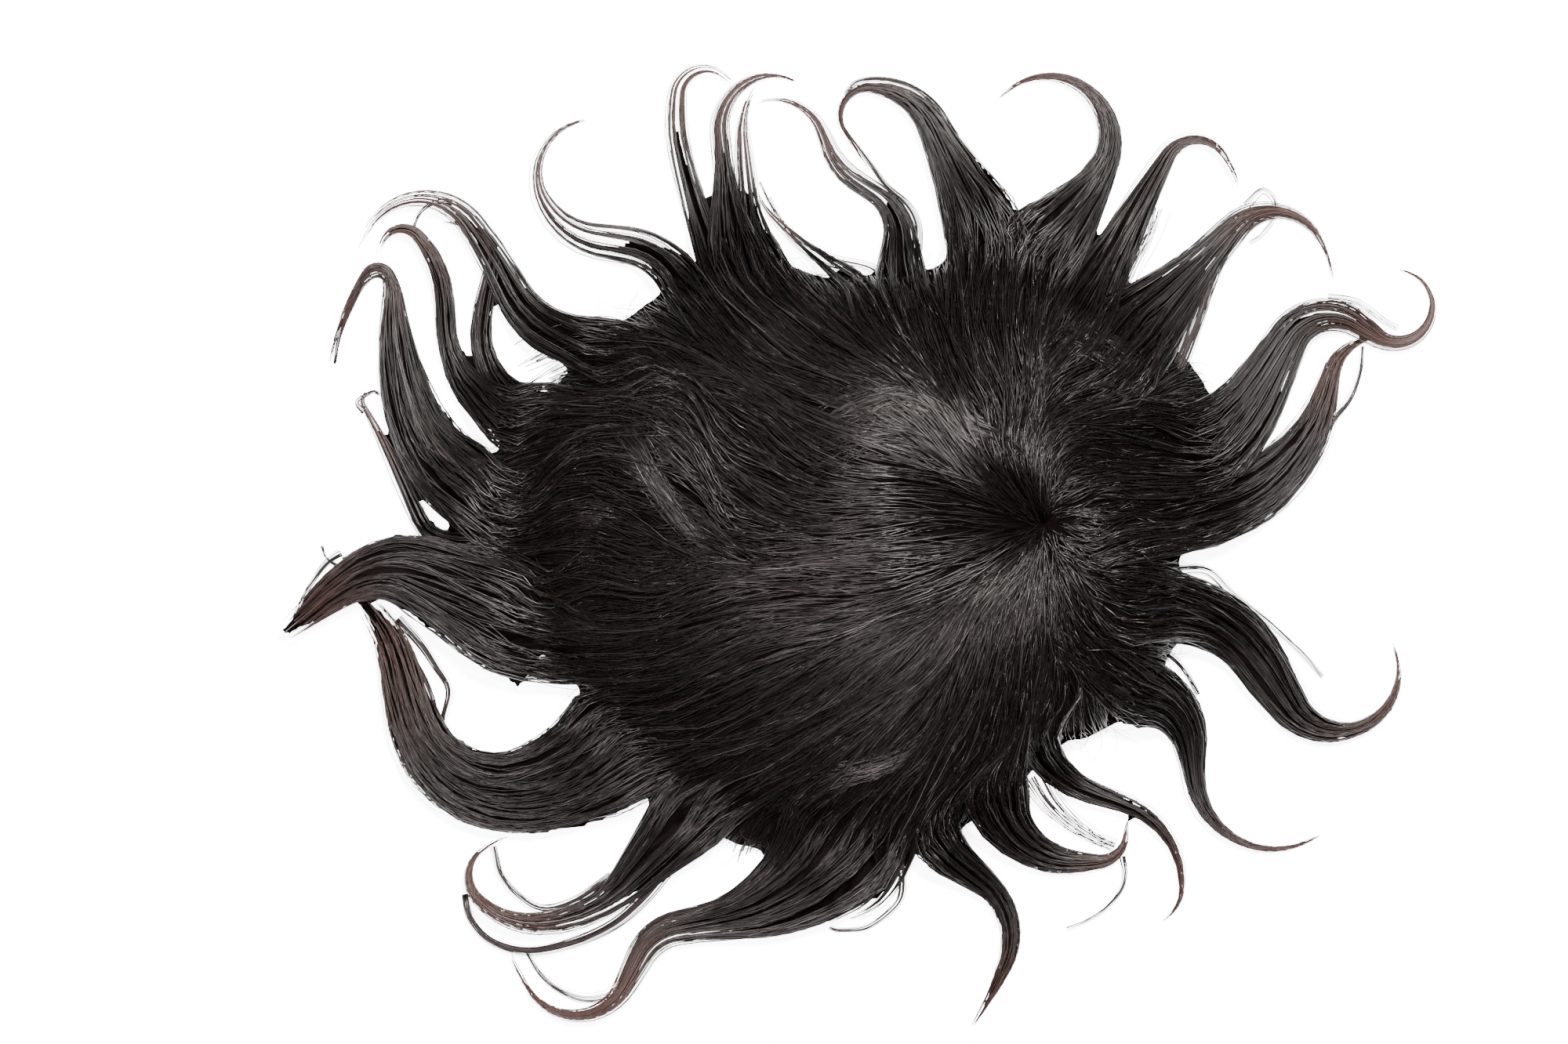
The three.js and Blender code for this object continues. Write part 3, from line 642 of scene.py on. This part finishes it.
def lock_block(lock, rng, low, high, shortest, top_share, count):
    """Strands of one lock. low and high bound where on the cover its upper strands start."""
    runs, lx, ly, headings = lock_course(lock)
    root = lock_root(lock)
    root_width = lock.widths[0] * LOCK_WIDTH
    look = LOOSE if lock.name in LOOSE_LOCKS else DENSE

    # Bundles, and each strand's place across (u) and up (v) the lock
    bundles = max(4, int(root_width / look.bundle))
    bundle = rng.integers(0, bundles, count)
    bundle_u = 0.97 * np.sin(np.linspace(-1.3, 1.3, bundles)) + rng.normal(0, 0.04, bundles)
    bundle_u = bundle_u[bundle]
    bundle_rise = rng.uniform(-0.8, 2.6, bundles)[bundle][:, None]
    phase = rng.uniform(0, 2 * math.pi, (bundles, 3))[bundle]
    u = np.clip(bundle_u + rng.normal(0, 0.9 / bundles, count), -1, 1)
    top = rng.uniform(0, 1, count) < top_share
    rise = np.sqrt(np.maximum(0, 1 - u * u))
    v = np.where(top, 0.5 + 0.5 * rise * rng.uniform(0.8, 1.1, count),
                 0.5 - 0.48 * rise * rng.uniform(0.3, 1.0, count))
    over = rng.uniform(0.1, 2.4, count)
    layer = np.where(top, over - CORE_DROP, rng.uniform(-7, -3, count))

    # How far each one starts up the cover, and how far along the lock it ends
    start = np.where(top, rng.uniform(low, high, count), rng.uniform(0.9, 1.0, count))
    bundle_end = rng.uniform(0.84, 1.0, bundles)
    end = bundle_end[bundle] * (1 - rng.uniform(0, 1, count) ** 3 * shortest)

    # Stations, closer where the lock's middle line turns
    turning = np.abs(np.diff(headings)) / math.radians(look.turn)
    cost = np.concatenate([[0], np.cumsum(np.maximum(turning, np.diff(runs) / STATION_STEP))])
    cover_run = COVER_DETOUR * np.linalg.norm(root - np.array(WHORL))
    cover_cost = cover_run / STATION_STEP
    mean_start = float(np.where(top, start, 0.95).mean())
    stations = 2 + int(math.ceil(cover_cost * (1 - mean_start) + cost[-1] * float(end.mean())))
    local = np.linspace(0, 1, stations)
    first = cover_cost * start
    last = cover_cost + cost[-1] * end
    place = first[:, None] + (last - first)[:, None] * local
    on_cover = np.clip(place / cover_cost, 0, 1)
    along = np.interp(place - cover_cost, cost, runs)
    run = np.where(place < cover_cost, on_cover * cover_run, cover_run + along)

    # Over the cover, each strand keeps to its lock's territory and nears its bundle
    before, after = TERRITORY[lock.name]
    leaving = math.radians(lock.heading)
    across = np.array([math.sin(leaving), -math.cos(leaving)])

    def cover_runs(place_across):
        degrees = -place_across * np.where(place_across > 0, before, after)
        ends = root + (place_across * root_width / 2)[:, None] * across
        return cover_paths(lock.bearing + degrees, ends, np.full(count, leaving), on_cover)

    clump = (0.65 * smooth_step(on_cover * 1.5))[..., None]
    xy = cover_runs(u) * (1 - clump) + cover_runs(bundle_u) * clump
    progress = along / runs[-1]
    width, depth, under = lock_sizes(lock, progress)
    angle = np.interp(along, runs, headings)

    # Strands draw together into their bundles as the lock runs out, and strays leave it
    free = (rng.uniform(0, 1, count) < 0.2)[:, None]
    gather = np.where(free, 0.25, 0.5 + look.gather * smooth_step((progress - 0.05) / 0.5))
    spread = u[:, None] * (1 - gather) + bundle_u[:, None] * gather
    inward = 0.5 * smooth_step(progress * 8)
    spread = np.clip(spread, -1, 1) * (1 - inward / (width / 2 + 0.5))
    edge = np.clip((1 - np.abs(spread)) * width / 2 / 1.6, 0, 1)
    sway = np.sin(run / 18 + phase[:, :1])
    spread = spread + look.wander * smooth_step(progress * 2) * edge * sway
    stray = (rng.uniform(0, 1, count) < look.strays)[:, None]
    leave = stray * np.sign(u)[:, None] * smooth_step(progress * 1.6)
    leave = leave * rng.uniform(0.3, 1, (count, 1))
    out = spread * width / 2 + 2.6 * leave * np.sin(math.pi * np.clip(progress * 1.1, 0, 1))
    x = root[0] + np.interp(along, runs, lx) + out * np.sin(angle)
    y = root[1] + np.interp(along, runs, ly) - out * np.cos(angle)
    xy = np.where((place < cover_cost)[..., None], xy, np.stack([x, y], axis=-1))

    # Heights: the cover's surface, then the lock's own section, over the core in both
    surface = cover_height(xy) + layer[:, None]
    blend = smooth_step((run - cover_run + BEFORE_ROOT) / ROOT_BLEND)
    z = surface * (1 - blend) + (under + depth * v[:, None]) * blend
    raised = relief.at(xy) + over[:, None] * (0.3 + 0.7 * width / LOCK_WIDTH)
    z = np.where(top[:, None], np.maximum(z, np.minimum(raised, z + 6)), z)
    bridge = np.where(top, rng.uniform(0, ROOT_RISE, count), 0)[:, None]
    z = z + bridge * np.exp(-(((run - cover_run - 3) / 17) ** 2)) * np.clip(width / 20, 0, 1)
    z = z - 3 * np.clip(start * 12, 0, 1)[:, None] * (1 - smooth_step((run - run[:, :1]) / 14))

    # Wander of each bundle and each strand, and the waves in front
    calm = look.calm * smooth_step(progress * look.calming)
    room = np.clip(width / LOCK_WIDTH, 0.12, 1) * edge * (1 - calm)
    own = 1.5 * wave_of(run, 70, phase[:, 1:2]) + waviness(run, rng, 60)
    strength, wave = front_wave(lock.bearing - u * (before + after) / 2, on_cover, run)
    fading = 1 - smooth_step(progress * 6)
    strength = strength * fading
    xy = sideways(xy, own * room + FRONT_SWING * strength * np.sin(wave))
    z = z + 0.5 * wave_of(run, 44, phase[:, 2:]) * room + bundle_rise * fading
    z = z + FRONT_HEAVE * strength * np.cos(wave)
    radii = thickness(rng, count, (0.65, 1.4), local, 8, 0.6, 0.45)
    radii = np.where(stray, 0.65 * radii, radii)
    tone = 0.5 + 0.24 * rng.normal(0, 1, bundles)[bundle] + 0.22 * rng.normal(0, 1, count)
    return strand_block(xy, z, radii, tone, np.clip(progress * look.browning, 0, 1))


def fringe_block(span, rng, count):
    """Short hair between the locks: it runs down the cover and ends just past the hem."""
    degrees = rng.uniform(span[0], span[1], count)
    ends = hem_points(degrees, out=rng.uniform(-3, 1.8, count))
    heading = arrival(degrees, ends) + rng.normal(0, 0.45, count)
    local = np.linspace(0, 1, COVER_STATIONS)
    start = np.where(rng.uniform(0, 1, count) < 0.5, rng.uniform(0.1, 0.7, count),
                     rng.uniform(0.7, 0.92, count))
    share = start[:, None] + (1 - start)[:, None] * local
    xy = cover_paths(degrees, ends, heading, share)
    xy = xy + 0.56 * waviness(share * COVER_RUN, rng, 50)[..., None]
    edge = np.maximum(hem_edge(xy), 0.55)
    over = rng.uniform(0.1, 2.0, count)[:, None]
    z = np.maximum((cover_height(xy) + over - CORE_DROP) * edge, relief.at(xy) + over)
    z = z - 2.5 * (1 - smooth_step(local * 4)) * edge
    radii = thickness(rng, count, (0.6, 1.2), local, 6, 0.65, 0.6)
    return strand_block(xy, z, radii, rng.normal(0.15, 0.12, count), 0.1)


def crown_block(rng, count):
    """Shorter hair all over the cover, each strand a stretch of the run from whorl to hem."""
    clumps = rng.uniform(0, 360, CROWN_CLUMPS)
    clump = rng.integers(0, len(clumps), count)
    degrees = (clumps[clump] + rng.normal(0, 0.35, count)) % 360
    ends = hem_points(degrees, share=0.97)
    start = rng.uniform(0.0, 0.7, count)
    end = np.minimum(start + rng.uniform(0.25, 0.6, count), 0.98)
    local = np.linspace(0, 1, COVER_STATIONS)
    share = start[:, None] + (end - start)[:, None] * local
    xy = cover_paths(degrees, ends, arrival(degrees, ends), share)
    run = share * COVER_RUN
    wild = np.where(rng.uniform(0, 1, (count, 1)) < 0.35, 7, 1.4)
    stray = wild * rng.normal(0, 1, (count, 1)) * local
    group = wave_of(run, 60, rng.uniform(0, 6.28, len(clumps))[clump][:, None])
    strength, wave = front_wave(degrees, share, run)
    aside = 0.6 * waviness(run, rng, 60) + stray + 1.8 * group
    xy = sideways(xy, aside + FRONT_SWING * strength * np.sin(wave))
    over = rng.uniform(0.3, 2.6, count)[:, None]
    z = np.maximum(cover_height(xy) - CORE_DROP, relief.at(xy)) + over
    z = z + FRONT_HEAVE * strength * np.cos(wave)
    z = z + rng.uniform(-0.6, 2.2, len(clumps))[clump][:, None]
    z = z - 3.0 * np.clip(start * 12, 0, 1)[:, None] * (1 - smooth_step(local * 4))
    z = z - 2.6 * smooth_step((local - 0.6) / 0.4)
    radii = thickness(rng, count, (0.5, 1.2), local, 6, 0.75, 0.5)
    tone = 0.45 + 0.2 * rng.normal(0, 1, len(clumps))[clump] + 0.2 * rng.normal(0, 1, count)
    return strand_block(xy, z, radii, tone, 0.0)


def fuzz_block(span, rng, count):
    """Fine short hairs that stand out from the hem between the locks."""
    degrees = rng.uniform(span[0], span[1], count)
    length = 4 + 14 * rng.uniform(0, 1, count) ** 2
    heading = np.radians(degrees) + rng.normal(0, 0.5, count)
    turn = rng.normal(0, 0.9, count)
    local = np.linspace(0, 1, FUZZ_STATIONS)
    run = length[:, None] * local
    bend = heading[:, None] + turn[:, None] * local
    start = hem_points(degrees, out=-rng.uniform(2, 7, count))[:, None]
    xy = start + run[..., None] * np.stack([np.cos(bend), np.sin(bend)], axis=-1)
    z = rng.uniform(2, HEM_HEIGHT, count)[:, None] * (1 - 0.5 * local) + 1
    radii = FUZZ_RADIUS * rng.uniform(0.7, 1.3, count)[:, None] * (1 - 0.6 * local)
    return strand_block(xy, z, radii, rng.uniform(0, 0.5, count), 0.4)


def wisp_block(row, rng):
    """A thin strand of a few hairs along its points."""
    points = np.array(row.points, float)[None]
    share = np.linspace(0, 1, 4 * len(row.points))[None]
    line = spline(points, np.gradient(points, axis=1), share)
    near, far = rng.normal(0, 1, (row.hairs, 1)), rng.normal(0, 0.6, (row.hairs, 1))
    xy = sideways(line, row.spread * (near * (1.2 - share) + far * share))
    z = row.lift * (1 - 0.8 * share)
    z = z + rng.uniform(-0.8, 1.2, (row.hairs, 1)) * (1 - 0.7 * share)
    radii = WISP_RADIUS * rng.uniform(0.7, 1.3, (row.hairs, 1)) * (1 - 0.5 * share)
    return strand_block(xy, z, radii, rng.uniform(0.1, 0.6, row.hairs), 0.6)


def tuft_block(row, rng):
    """A tuft on top of the cover: its hairs start and end at different places along its points."""
    count, local = row.hairs, np.linspace(0, 1, TUFT_STATIONS)
    points = np.repeat(np.array(row.points, float)[None], count, axis=0)
    first = rng.uniform(0, 0.35, count)
    last = rng.uniform(0.6, 1, count)
    share = first[:, None] + (last - first)[:, None] * local
    bundle = rng.integers(0, TUFT_BUNDLES, count)
    place = rng.uniform(-1, 1, TUFT_BUNDLES)[bundle] + rng.normal(0, 0.22, count)
    fan = rng.normal(0, 0.5, count)[:, None] * share**2 + place[:, None] * (0.5 + share)
    aside = row.spread * fan + 0.8 * waviness(share * 80, rng, 50)
    xy = sideways(spline(points, np.gradient(points, axis=1), share), aside)
    over = row.lift * (0.35 + 0.65 * rng.uniform(0, 1, TUFT_BUNDLES)[bundle])
    over = (over + rng.uniform(-0.5, 0.7, count))[:, None]
    sinking = 1 - smooth_step(local * 2.5) + smooth_step((local - 0.6) / 0.4)
    z = relief.at(xy) + CORE_DROP + over - (over + 2) * sinking
    radii = STRAND_RADIUS * rng.uniform(0.5, 1.1, count)[:, None] * np.minimum(1, 0.2 + local * 4)
    tone = row.tone + 0.16 * rng.normal(0, 1, TUFT_BUNDLES)[bundle] + 0.2 * rng.normal(0, 1, count)
    return strand_block(xy, z, radii, tone, 0.0)


def tube_arrays(block):
    """Vertices, quads, end triangles, tone and tip of a block of strands, as closed thin tubes."""
    points, radii = block["points"], block["radii"]
    count, stations = points.shape[:2]
    tangent = np.gradient(points, axis=1)
    tangent /= np.maximum(np.linalg.norm(tangent, axis=2, keepdims=True), 1e-9)
    side = np.cross(tangent, (0.0, 0.0, 1.0))
    side /= np.maximum(np.linalg.norm(side, axis=2, keepdims=True), 1e-9)
    up = np.cross(side, tangent)
    angles = 2 * math.pi * (np.arange(SIDES) / SIDES)[None, :] + (np.arange(count) * 2.4)[:, None]
    ring = (
        np.cos(angles)[:, None, :, None] * side[:, :, None]
        + np.sin(angles)[:, None, :, None] * up[:, :, None]
    )
    verts = points[:, :, None] + ring * radii[:, :, None, None]
    index = np.arange(count * stations * SIDES).reshape(count, stations, SIDES)
    here, there = index[:, :-1], index[:, 1:]
    around = [here, np.roll(here, -1, axis=2), np.roll(there, -1, axis=2), there]
    quads = np.stack(around, axis=-1).reshape(-1, 4)
    caps = np.concatenate([index[:, 0, ::-1], index[:, -1]]).reshape(-1, SIDES)
    # Painted sheen and shade: the table's patches lighten or darken the strands' colour where they lie
    tone = np.clip(block["tone"][:, None] + painted_sheen_and_shade(points), 0, 1)
    tone = np.repeat(tone.reshape(-1), SIDES)
    tip = np.repeat(block["tip"].reshape(-1), SIDES)
    return verts.reshape(-1, 3), quads, caps, tone, tip


def new_object(name, data):
    made = bpy.data.objects.new(name, data)
    bpy.context.scene.collection.objects.link(made)
    return made


def place_points(mesh, points):
    """Gives a mesh's vertices their places, in millimetres from the middle of the base cap."""
    mesh.vertices.foreach_set("co", ((points + BASE_MIDDLE) * MM).astype(np.float32).ravel())


def strand_piece(name, blocks):
    """One mesh object of many strands."""
    parts, shift = [], 0
    for block in blocks:
        verts, quads, caps, tone, tip = tube_arrays(block)
        parts.append((verts, quads + shift, caps + shift, tone, tip))
        shift += len(verts)
    verts, quads, caps, tone, tip = (np.concatenate(part) for part in zip(*parts))
    mesh = bpy.data.meshes.new(name)
    mesh.vertices.add(len(verts))
    place_points(mesh, verts)
    loops = np.concatenate([quads.ravel(), caps.ravel()]).astype(np.int32)
    mesh.loops.add(len(loops))
    mesh.loops.foreach_set("vertex_index", loops)
    mesh.polygons.add(len(quads) + len(caps))
    starts = np.arange(len(quads)) * 4, len(quads) * 4 + np.arange(len(caps)) * SIDES
    starts = np.concatenate(starts).astype(np.int32)
    mesh.polygons.foreach_set("loop_start", starts)
    mesh.polygons.foreach_set("use_smooth", np.arange(len(starts)) < len(quads))
    mesh.update(calc_edges=True)
    for label, values in (("tone", tone), ("tip", tip)):
        layer = mesh.attributes.new(label, "FLOAT", "POINT")
        layer.data.foreach_set("value", values.astype(np.float32))
    return new_object(name, mesh)


def core_piece(name, nodes):
    """One smooth body a little inside the CAD hair solids, without tips too thin for it."""
    verts, faces = [], []
    for node in nodes:
        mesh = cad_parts[node].data
        shift = len(verts)
        verts += [v.co.copy() for v in mesh.vertices]
        faces += [[shift + i for i in face.vertices] for face in mesh.polygons]
    made = new_object(name, bpy.data.meshes.new(name))
    made.data.from_pydata(verts, [], faces)
    remesh = made.modifiers.new("remesh", "REMESH")
    remesh.mode = "VOXEL"
    remesh.voxel_size = CORE_VOXEL * MM
    smooth = made.modifiers.new("smooth", "SMOOTH")
    smooth.factor = 0.5
    smooth.iterations = 3
    evaluated = made.evaluated_get(bpy.context.evaluated_depsgraph_get())
    mesh = bpy.data.meshes.new_from_object(evaluated)
    made.modifiers.clear()
    made.data = mesh
    settle_core(mesh)
    mesh.polygons.foreach_set("use_smooth", np.ones(len(mesh.polygons), bool))
    return made


def thinned(points):
    """The core's points drawn in towards the locks' middle lines, and those beyond its end."""
    best = np.full(len(points), CORE_REACH)
    out, cut = points.copy(), np.zeros(len(points), bool)
    beyond = hem_share(points) > 1
    for lock in LOCKS:
        runs, lx, ly, _ = lock_course(lock)
        line = lock_root(lock) + np.stack([lx, ly], axis=1)
        progress = runs / runs[-1]
        width, _, under = lock_sizes(lock, progress)
        low, high = line.min(axis=0) - width[0] / 2, line.max(axis=0) + width[0] / 2
        near = beyond & np.all((points[:, :2] > low) & (points[:, :2] < high), axis=1)
        picked = np.flatnonzero(near)
        away = points[picked, None, :2] - line[None]
        distance = np.hypot(away[..., 0], away[..., 1])
        nearest = distance.argmin(axis=1)
        share = distance[np.arange(len(picked)), nearest] / (width[nearest] / 2 + 1.5)
        closer = share < best[picked]
        picked, nearest, share = picked[closer], nearest[closer], share[closer]
        best[picked] = share
        end = LOOSE_LOCKS.get(lock.name, 1)
        thinning = LOOSE_THINNING if end < 1 else 0
        keep = 1 - thinning * smooth_step(progress[nearest] / end)
        keep = keep * (1 - 0.6 * smooth_step((progress[nearest] - 0.8) / 0.2))
        middle = np.stack([*line[nearest].T, under[nearest]], axis=1)
        out[picked] = middle + (points[picked] - middle) * keep[:, None]
        cut[picked] = progress[nearest] > end
    return out, cut


def largest_body(edges, gone):
    """Which vertices belong to the largest connected body, once some are gone."""
    label = np.arange(len(gone))
    edges = edges[~gone[edges].any(axis=1)]
    while True:
        low = np.minimum(label[edges[:, 0]], label[edges[:, 1]])
        before = label.copy()
        np.minimum.at(label, edges[:, 0], low)
        np.minimum.at(label, edges[:, 1], low)
        label = label[label]
        if np.array_equal(before, label):
            break
    names, sizes = np.unique(label[~gone], return_counts=True)
    return (label == names[sizes.argmax()]) & ~gone


def settle_core(mesh):
    """Lowers and thins the core, ends it under the loose locks and drops the remesh's crumbs."""
    coords = np.empty(len(mesh.vertices) * 3, np.float32)
    normals = np.empty_like(coords)
    edges = np.empty(len(mesh.edges) * 2, np.int32)
    mesh.vertices.foreach_get("co", coords)
    mesh.vertices.foreach_get("normal", normals)
    mesh.edges.foreach_get("vertices", edges)
    normals = normals.reshape(-1, 3)
    points = coords.reshape(-1, 3) / MM - BASE_MIDDLE
    drop = np.minimum(CORE_DROP, 0.35 * points[:, 2]) * np.maximum(normals[:, 2], 0)
    points[:, 2] = np.maximum(points[:, 2] - drop, CORE_FLOOR)
    points[:, :2] += CORE_SWELL * normals[:, :2]
    points, cut = thinned(points)
    place_points(mesh, points)
    keep = largest_body(edges.reshape(-1, 2), cut)
    edit = bmesh.new()
    edit.from_mesh(mesh)
    edit.verts.ensure_lookup_table()
    bmesh.ops.delete(edit, geom=[edit.verts[i] for i in np.flatnonzero(~keep)], context="VERTS")
    rim = [edge for edge in edit.edges if edge.is_boundary]
    made = bmesh.ops.holes_fill(edit, edges=rim, sides=0)
    bmesh.ops.triangulate(edit, faces=made["faces"])
    edit.to_mesh(mesh)
    edit.free()


class Shading:
    """A new material, with short ways to add nodes and feed them."""

    def __init__(self, name):
        self.material = bpy.data.materials.new(name)
        self.material.use_nodes = True
        self.tree = self.material.node_tree
        self.shader = self.tree.nodes["Principled BSDF"]

    def feed(self, node, inputs):
        """Sets a node's inputs to values, or links them to outputs."""
        for name, value in inputs.items():
            if isinstance(value, bpy.types.NodeSocket):
                self.tree.links.new(value, node.inputs[name])
            else:
                node.inputs[name].default_value = value

    def add(self, kind, output, inputs=None, **settings):
        """One output of a new node with these settings and inputs."""
        node = self.tree.nodes.new("ShaderNode" + kind)
        for name, value in settings.items():
            setattr(node, name, value)
        self.feed(node, inputs or {})
        return node.outputs[output]

    def math(self, operation, a, b):
        return self.add("Math", 0, {0: a, 1: b}, operation=operation)

    def ramp(self, factor, stops):
        node = self.tree.nodes.new("ShaderNodeValToRGB")
        elements = node.color_ramp.elements
        while len(elements) < len(stops):
            elements.new(0.5)
        for element, (place, colour) in zip(elements, stops):
            element.position = place
            element.color = (*colour, 1)
        self.feed(node, {"Fac": factor})
        return node.outputs["Color"]

    def bump(self, height, strength, distance):
        inputs = {"Strength": strength, "Distance": distance, "Height": height}
        return self.add("Bump", "Normal", inputs)


def hair_material():
    """Near-black hair: each strand has its own tone, with painted sheen and shade on top,
    and thin ends go reddish-brown.
    """
    shading = Shading("hair")
    tone = shading.add("Attribute", "Fac", attribute_name="tone")
    tip = shading.add("Attribute", "Fac", attribute_name="tip")
    place = shading.add("TexCoord", "Object")
    noise = shading.add("TexNoise", "Fac", {"Vector": place, "Scale": 300, "Detail": 2})
    # The tone carries painted sheen and shade as well as each strand's own tone
    shade = shading.ramp(tone, [(0.0, HAIR_DARK), (0.65, HAIR_LIGHT), (1.0, HAIR_LIGHTEST_AND_SHEEN)])
    spread = shading.ramp(noise, [(0.3, (0.45, 0.45, 0.45)), (0.7, (1.25, 1.2, 1.15))])
    mottled = shading.add("Mix", "Result", {"Factor": 0.4, "A": shade, "B": spread},
                          data_type="RGBA", blend_type="MULTIPLY")
    brown = shading.add("MapRange", "Result", {"Value": tip, "From Min": 0.45},
                        interpolation_type="SMOOTHSTEP")
    warm = {"Factor": brown, "A": mottled, "B": (*TIP_BROWN, 1)}
    colour = shading.add("Mix", "Result", warm, data_type="RGBA")

    # Glossier where the tone is light, duller towards the tips, with a grain
    gloss = {"Value": tone, "To Min": HAIR_ROUGHNESS + 0.1, "To Max": HAIR_ROUGHNESS - 0.06}
    grain = {"Value": noise, "To Min": -0.06, "To Max": 0.06}
    dull = {"Value": tip, "From Max": 0.25, "To Max": 0.12}
    parts = [shading.add("MapRange", "Result", inputs) for inputs in (gloss, grain, dull)]
    roughness = shading.math("ADD", shading.math("ADD", parts[0], parts[1]), parts[2])
    shading.feed(shading.shader, {
        "Base Color": colour, "Roughness": roughness, "Specular IOR Level": 0.12,
    })
    return shading.material


def core_material():
    """The shaded hair underneath: fine radial streaks round the whorl, with a light grain."""
    shading = Shading("inner_hair")
    place = shading.add("TexCoord", "Object")
    whorl = (np.array(WHORL) + BASE_MIDDLE[:2]) * MM
    dx, dy = (
        shading.math("SUBTRACT", shading.add("SeparateXYZ", axis, {"Vector": place}), float(middle))
        for axis, middle in zip("XY", whorl)
    )
    bearing = shading.math("ARCTAN2", dy, dx)
    streaks = zip("XYZ", (bearing, dx, dy))
    join = {axis: shading.math("MULTIPLY", value, 60) for axis, value in streaks}
    vector = shading.add("CombineXYZ", "Vector", join)
    streak = shading.add("TexNoise", "Fac", {"Vector": vector, "Scale": 1.4, "Detail": 6})
    shade = shading.ramp(streak, [(0.35, (0.0005, 0.0004, 0.0004)), (0.7, (0.0018, 0.0014, 0.0013))])
    shading.feed(shading.shader, {
        "Base Color": shade, "Roughness": 0.6, "Specular IOR Level": 0,
        "Normal": shading.bump(streak, 0.6, 0.0006),
    })
    return shading.material


def base_material():
    """Fine net of the base cap: two crossed sets of threads over a dark ground."""
    shading = Shading("base_net")
    inputs = {"Vector": shading.add("TexCoord", "Object"), "Scale": 260, "Distortion": 0.6}
    threads = [shading.add("TexWave", "Fac", inputs, bands_direction=axis) for axis in "XY"]
    height = shading.math("MAXIMUM", *threads)
    shade = shading.ramp(height, [(0.3, (0.012, 0.009, 0.008)), (0.85, (0.055, 0.04, 0.032))])
    shading.feed(shading.shader, {
        "Base Color": shade, "Roughness": 0.85, "Normal": shading.bump(height, 0.7, 0.0004),
    })
    return shading.material


def white_table():
    """The white table, which mostly glows by itself."""
    mesh = bpy.data.meshes.new("table_top")
    corners = [(x * TABLE_REACH, y * TABLE_REACH, 0) for x, y in ((-1, -1), (1, -1), (1, 1), (-1, 1))]
    mesh.from_pydata(corners, [], [(0, 1, 2, 3)])
    shading = Shading("white_table")
    shading.feed(shading.shader, {
        "Base Color": (0.93, 0.945, 0.96, 1), "Roughness": 0.9, "Specular IOR Level": 0.1,
        "Emission Color": (0.96, 0.98, 1, 1), "Emission Strength": 6,
    })
    mesh.materials.append(shading.material)
    new_object("table_top", mesh)


def studio_light():
    world = bpy.data.worlds.new("studio")
    bpy.context.scene.world = world
    world.use_nodes = True
    background = world.node_tree.nodes["Background"]
    background.inputs["Color"].default_value = (0.93, 0.96, 1, 1)
    background.inputs["Strength"].default_value = 0.1
    for light in LIGHTS:
        data = bpy.data.lights.new(light.name, "AREA")
        data.shape = "RECTANGLE"
        data.size, data.size_y = light.size
        data.energy = light.power
        data.color = light.colour
        made = new_object(light.name, data)
        made.location = light.place
        made.rotation_mode = "QUATERNION"
        made.rotation_quaternion = (-Vector(light.place)).to_track_quat("-Z", "Y")


def photo_camera():
    """Looks straight down, with the photograph's frame at the height of the hair's middle."""
    data = bpy.data.cameras.new("photo_camera")
    data.sensor_width = SENSOR_WIDTH
    data.lens = SENSOR_WIDTH * (CAMERA_HEIGHT - FOCUS_HEIGHT) / PHOTO_WIDTH
    data.clip_start = 0.05
    data.clip_end = 20
    made = new_object("photo_camera", data)
    x, y = (PHOTO_MIDDLE + BASE_MIDDLE[:2]) * MM
    made.location = (x, y, CAMERA_HEIGHT * MM)
    bpy.context.scene.camera = made


def dress(piece, nodes, material):
    """Gives a hair piece its material and its place on the body, and hides the CAD nodes that it
    replaces.
    """
    piece.data.materials.clear()
    piece.data.materials.append(material)
    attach(piece, "root")
    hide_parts(*nodes)


def dress_section(node, span):
    """The long and the short strands of one section, between two bearings."""
    side = node.replace("_hair", "")
    long_blocks, short_blocks = [], []
    for lock in LOCKS:
        if (lock.bearing - span[0]) % 360 >= span[1] - span[0]:
            continue
        look = LOOSE if lock.name in LOOSE_LOCKS else DENSE
        amount = int(STRANDS_PER_MM * look.density * lock.widths[0] * LOCK_WIDTH)
        long, short = int(amount * LONG_SHARE), int(amount * SHORT_SHARE)
        long_blocks.append(lock_block(lock, rng, 0.0, 0.45, 0.35, 1.0, long))
        short_blocks.append(lock_block(lock, rng, 0.45, 0.97, 0.45, 0.7, short))
    width = span[1] - span[0]
    short_blocks.append(fringe_block(span, rng, int(width * FRINGE_PER_DEGREE)))
    short_blocks.append(fuzz_block(span, rng, int(width * FUZZ_PER_DEGREE)))
    short_blocks += [wisp_block(row, rng) for row in WISPS[node]]
    dress(strand_piece(side + "_long_strands", long_blocks), [node], strands)
    dress(strand_piece(side + "_strands", short_blocks), [node], strands)


base_low, base_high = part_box("base_cap")
BASE_MIDDLE = np.array([(base_low[0] + base_high[0]) / 2, (base_low[1] + base_high[1]) / 2, 0]) / MM

photo_camera()
white_table()
studio_light()

net = base_material()
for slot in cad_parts["base_cap"].material_slots:
    slot.material = net

strands = hair_material()
core = core_piece("inner_hair", ["crown_hair", *SECTIONS])
dress(core, ["crown_hair", *SECTIONS], core_material())
relief = Relief(core)

rng = np.random.default_rng(SEED)
dress(strand_piece("crown_strands", [crown_block(rng, CROWN_STRANDS)]), ["crown_hair"], strands)
dress(strand_piece("tufts", [tuft_block(row, rng) for row in TUFTS]), ["crown_hair"], strands)
for node, span in SECTIONS.items():
    dress_section(node, span)
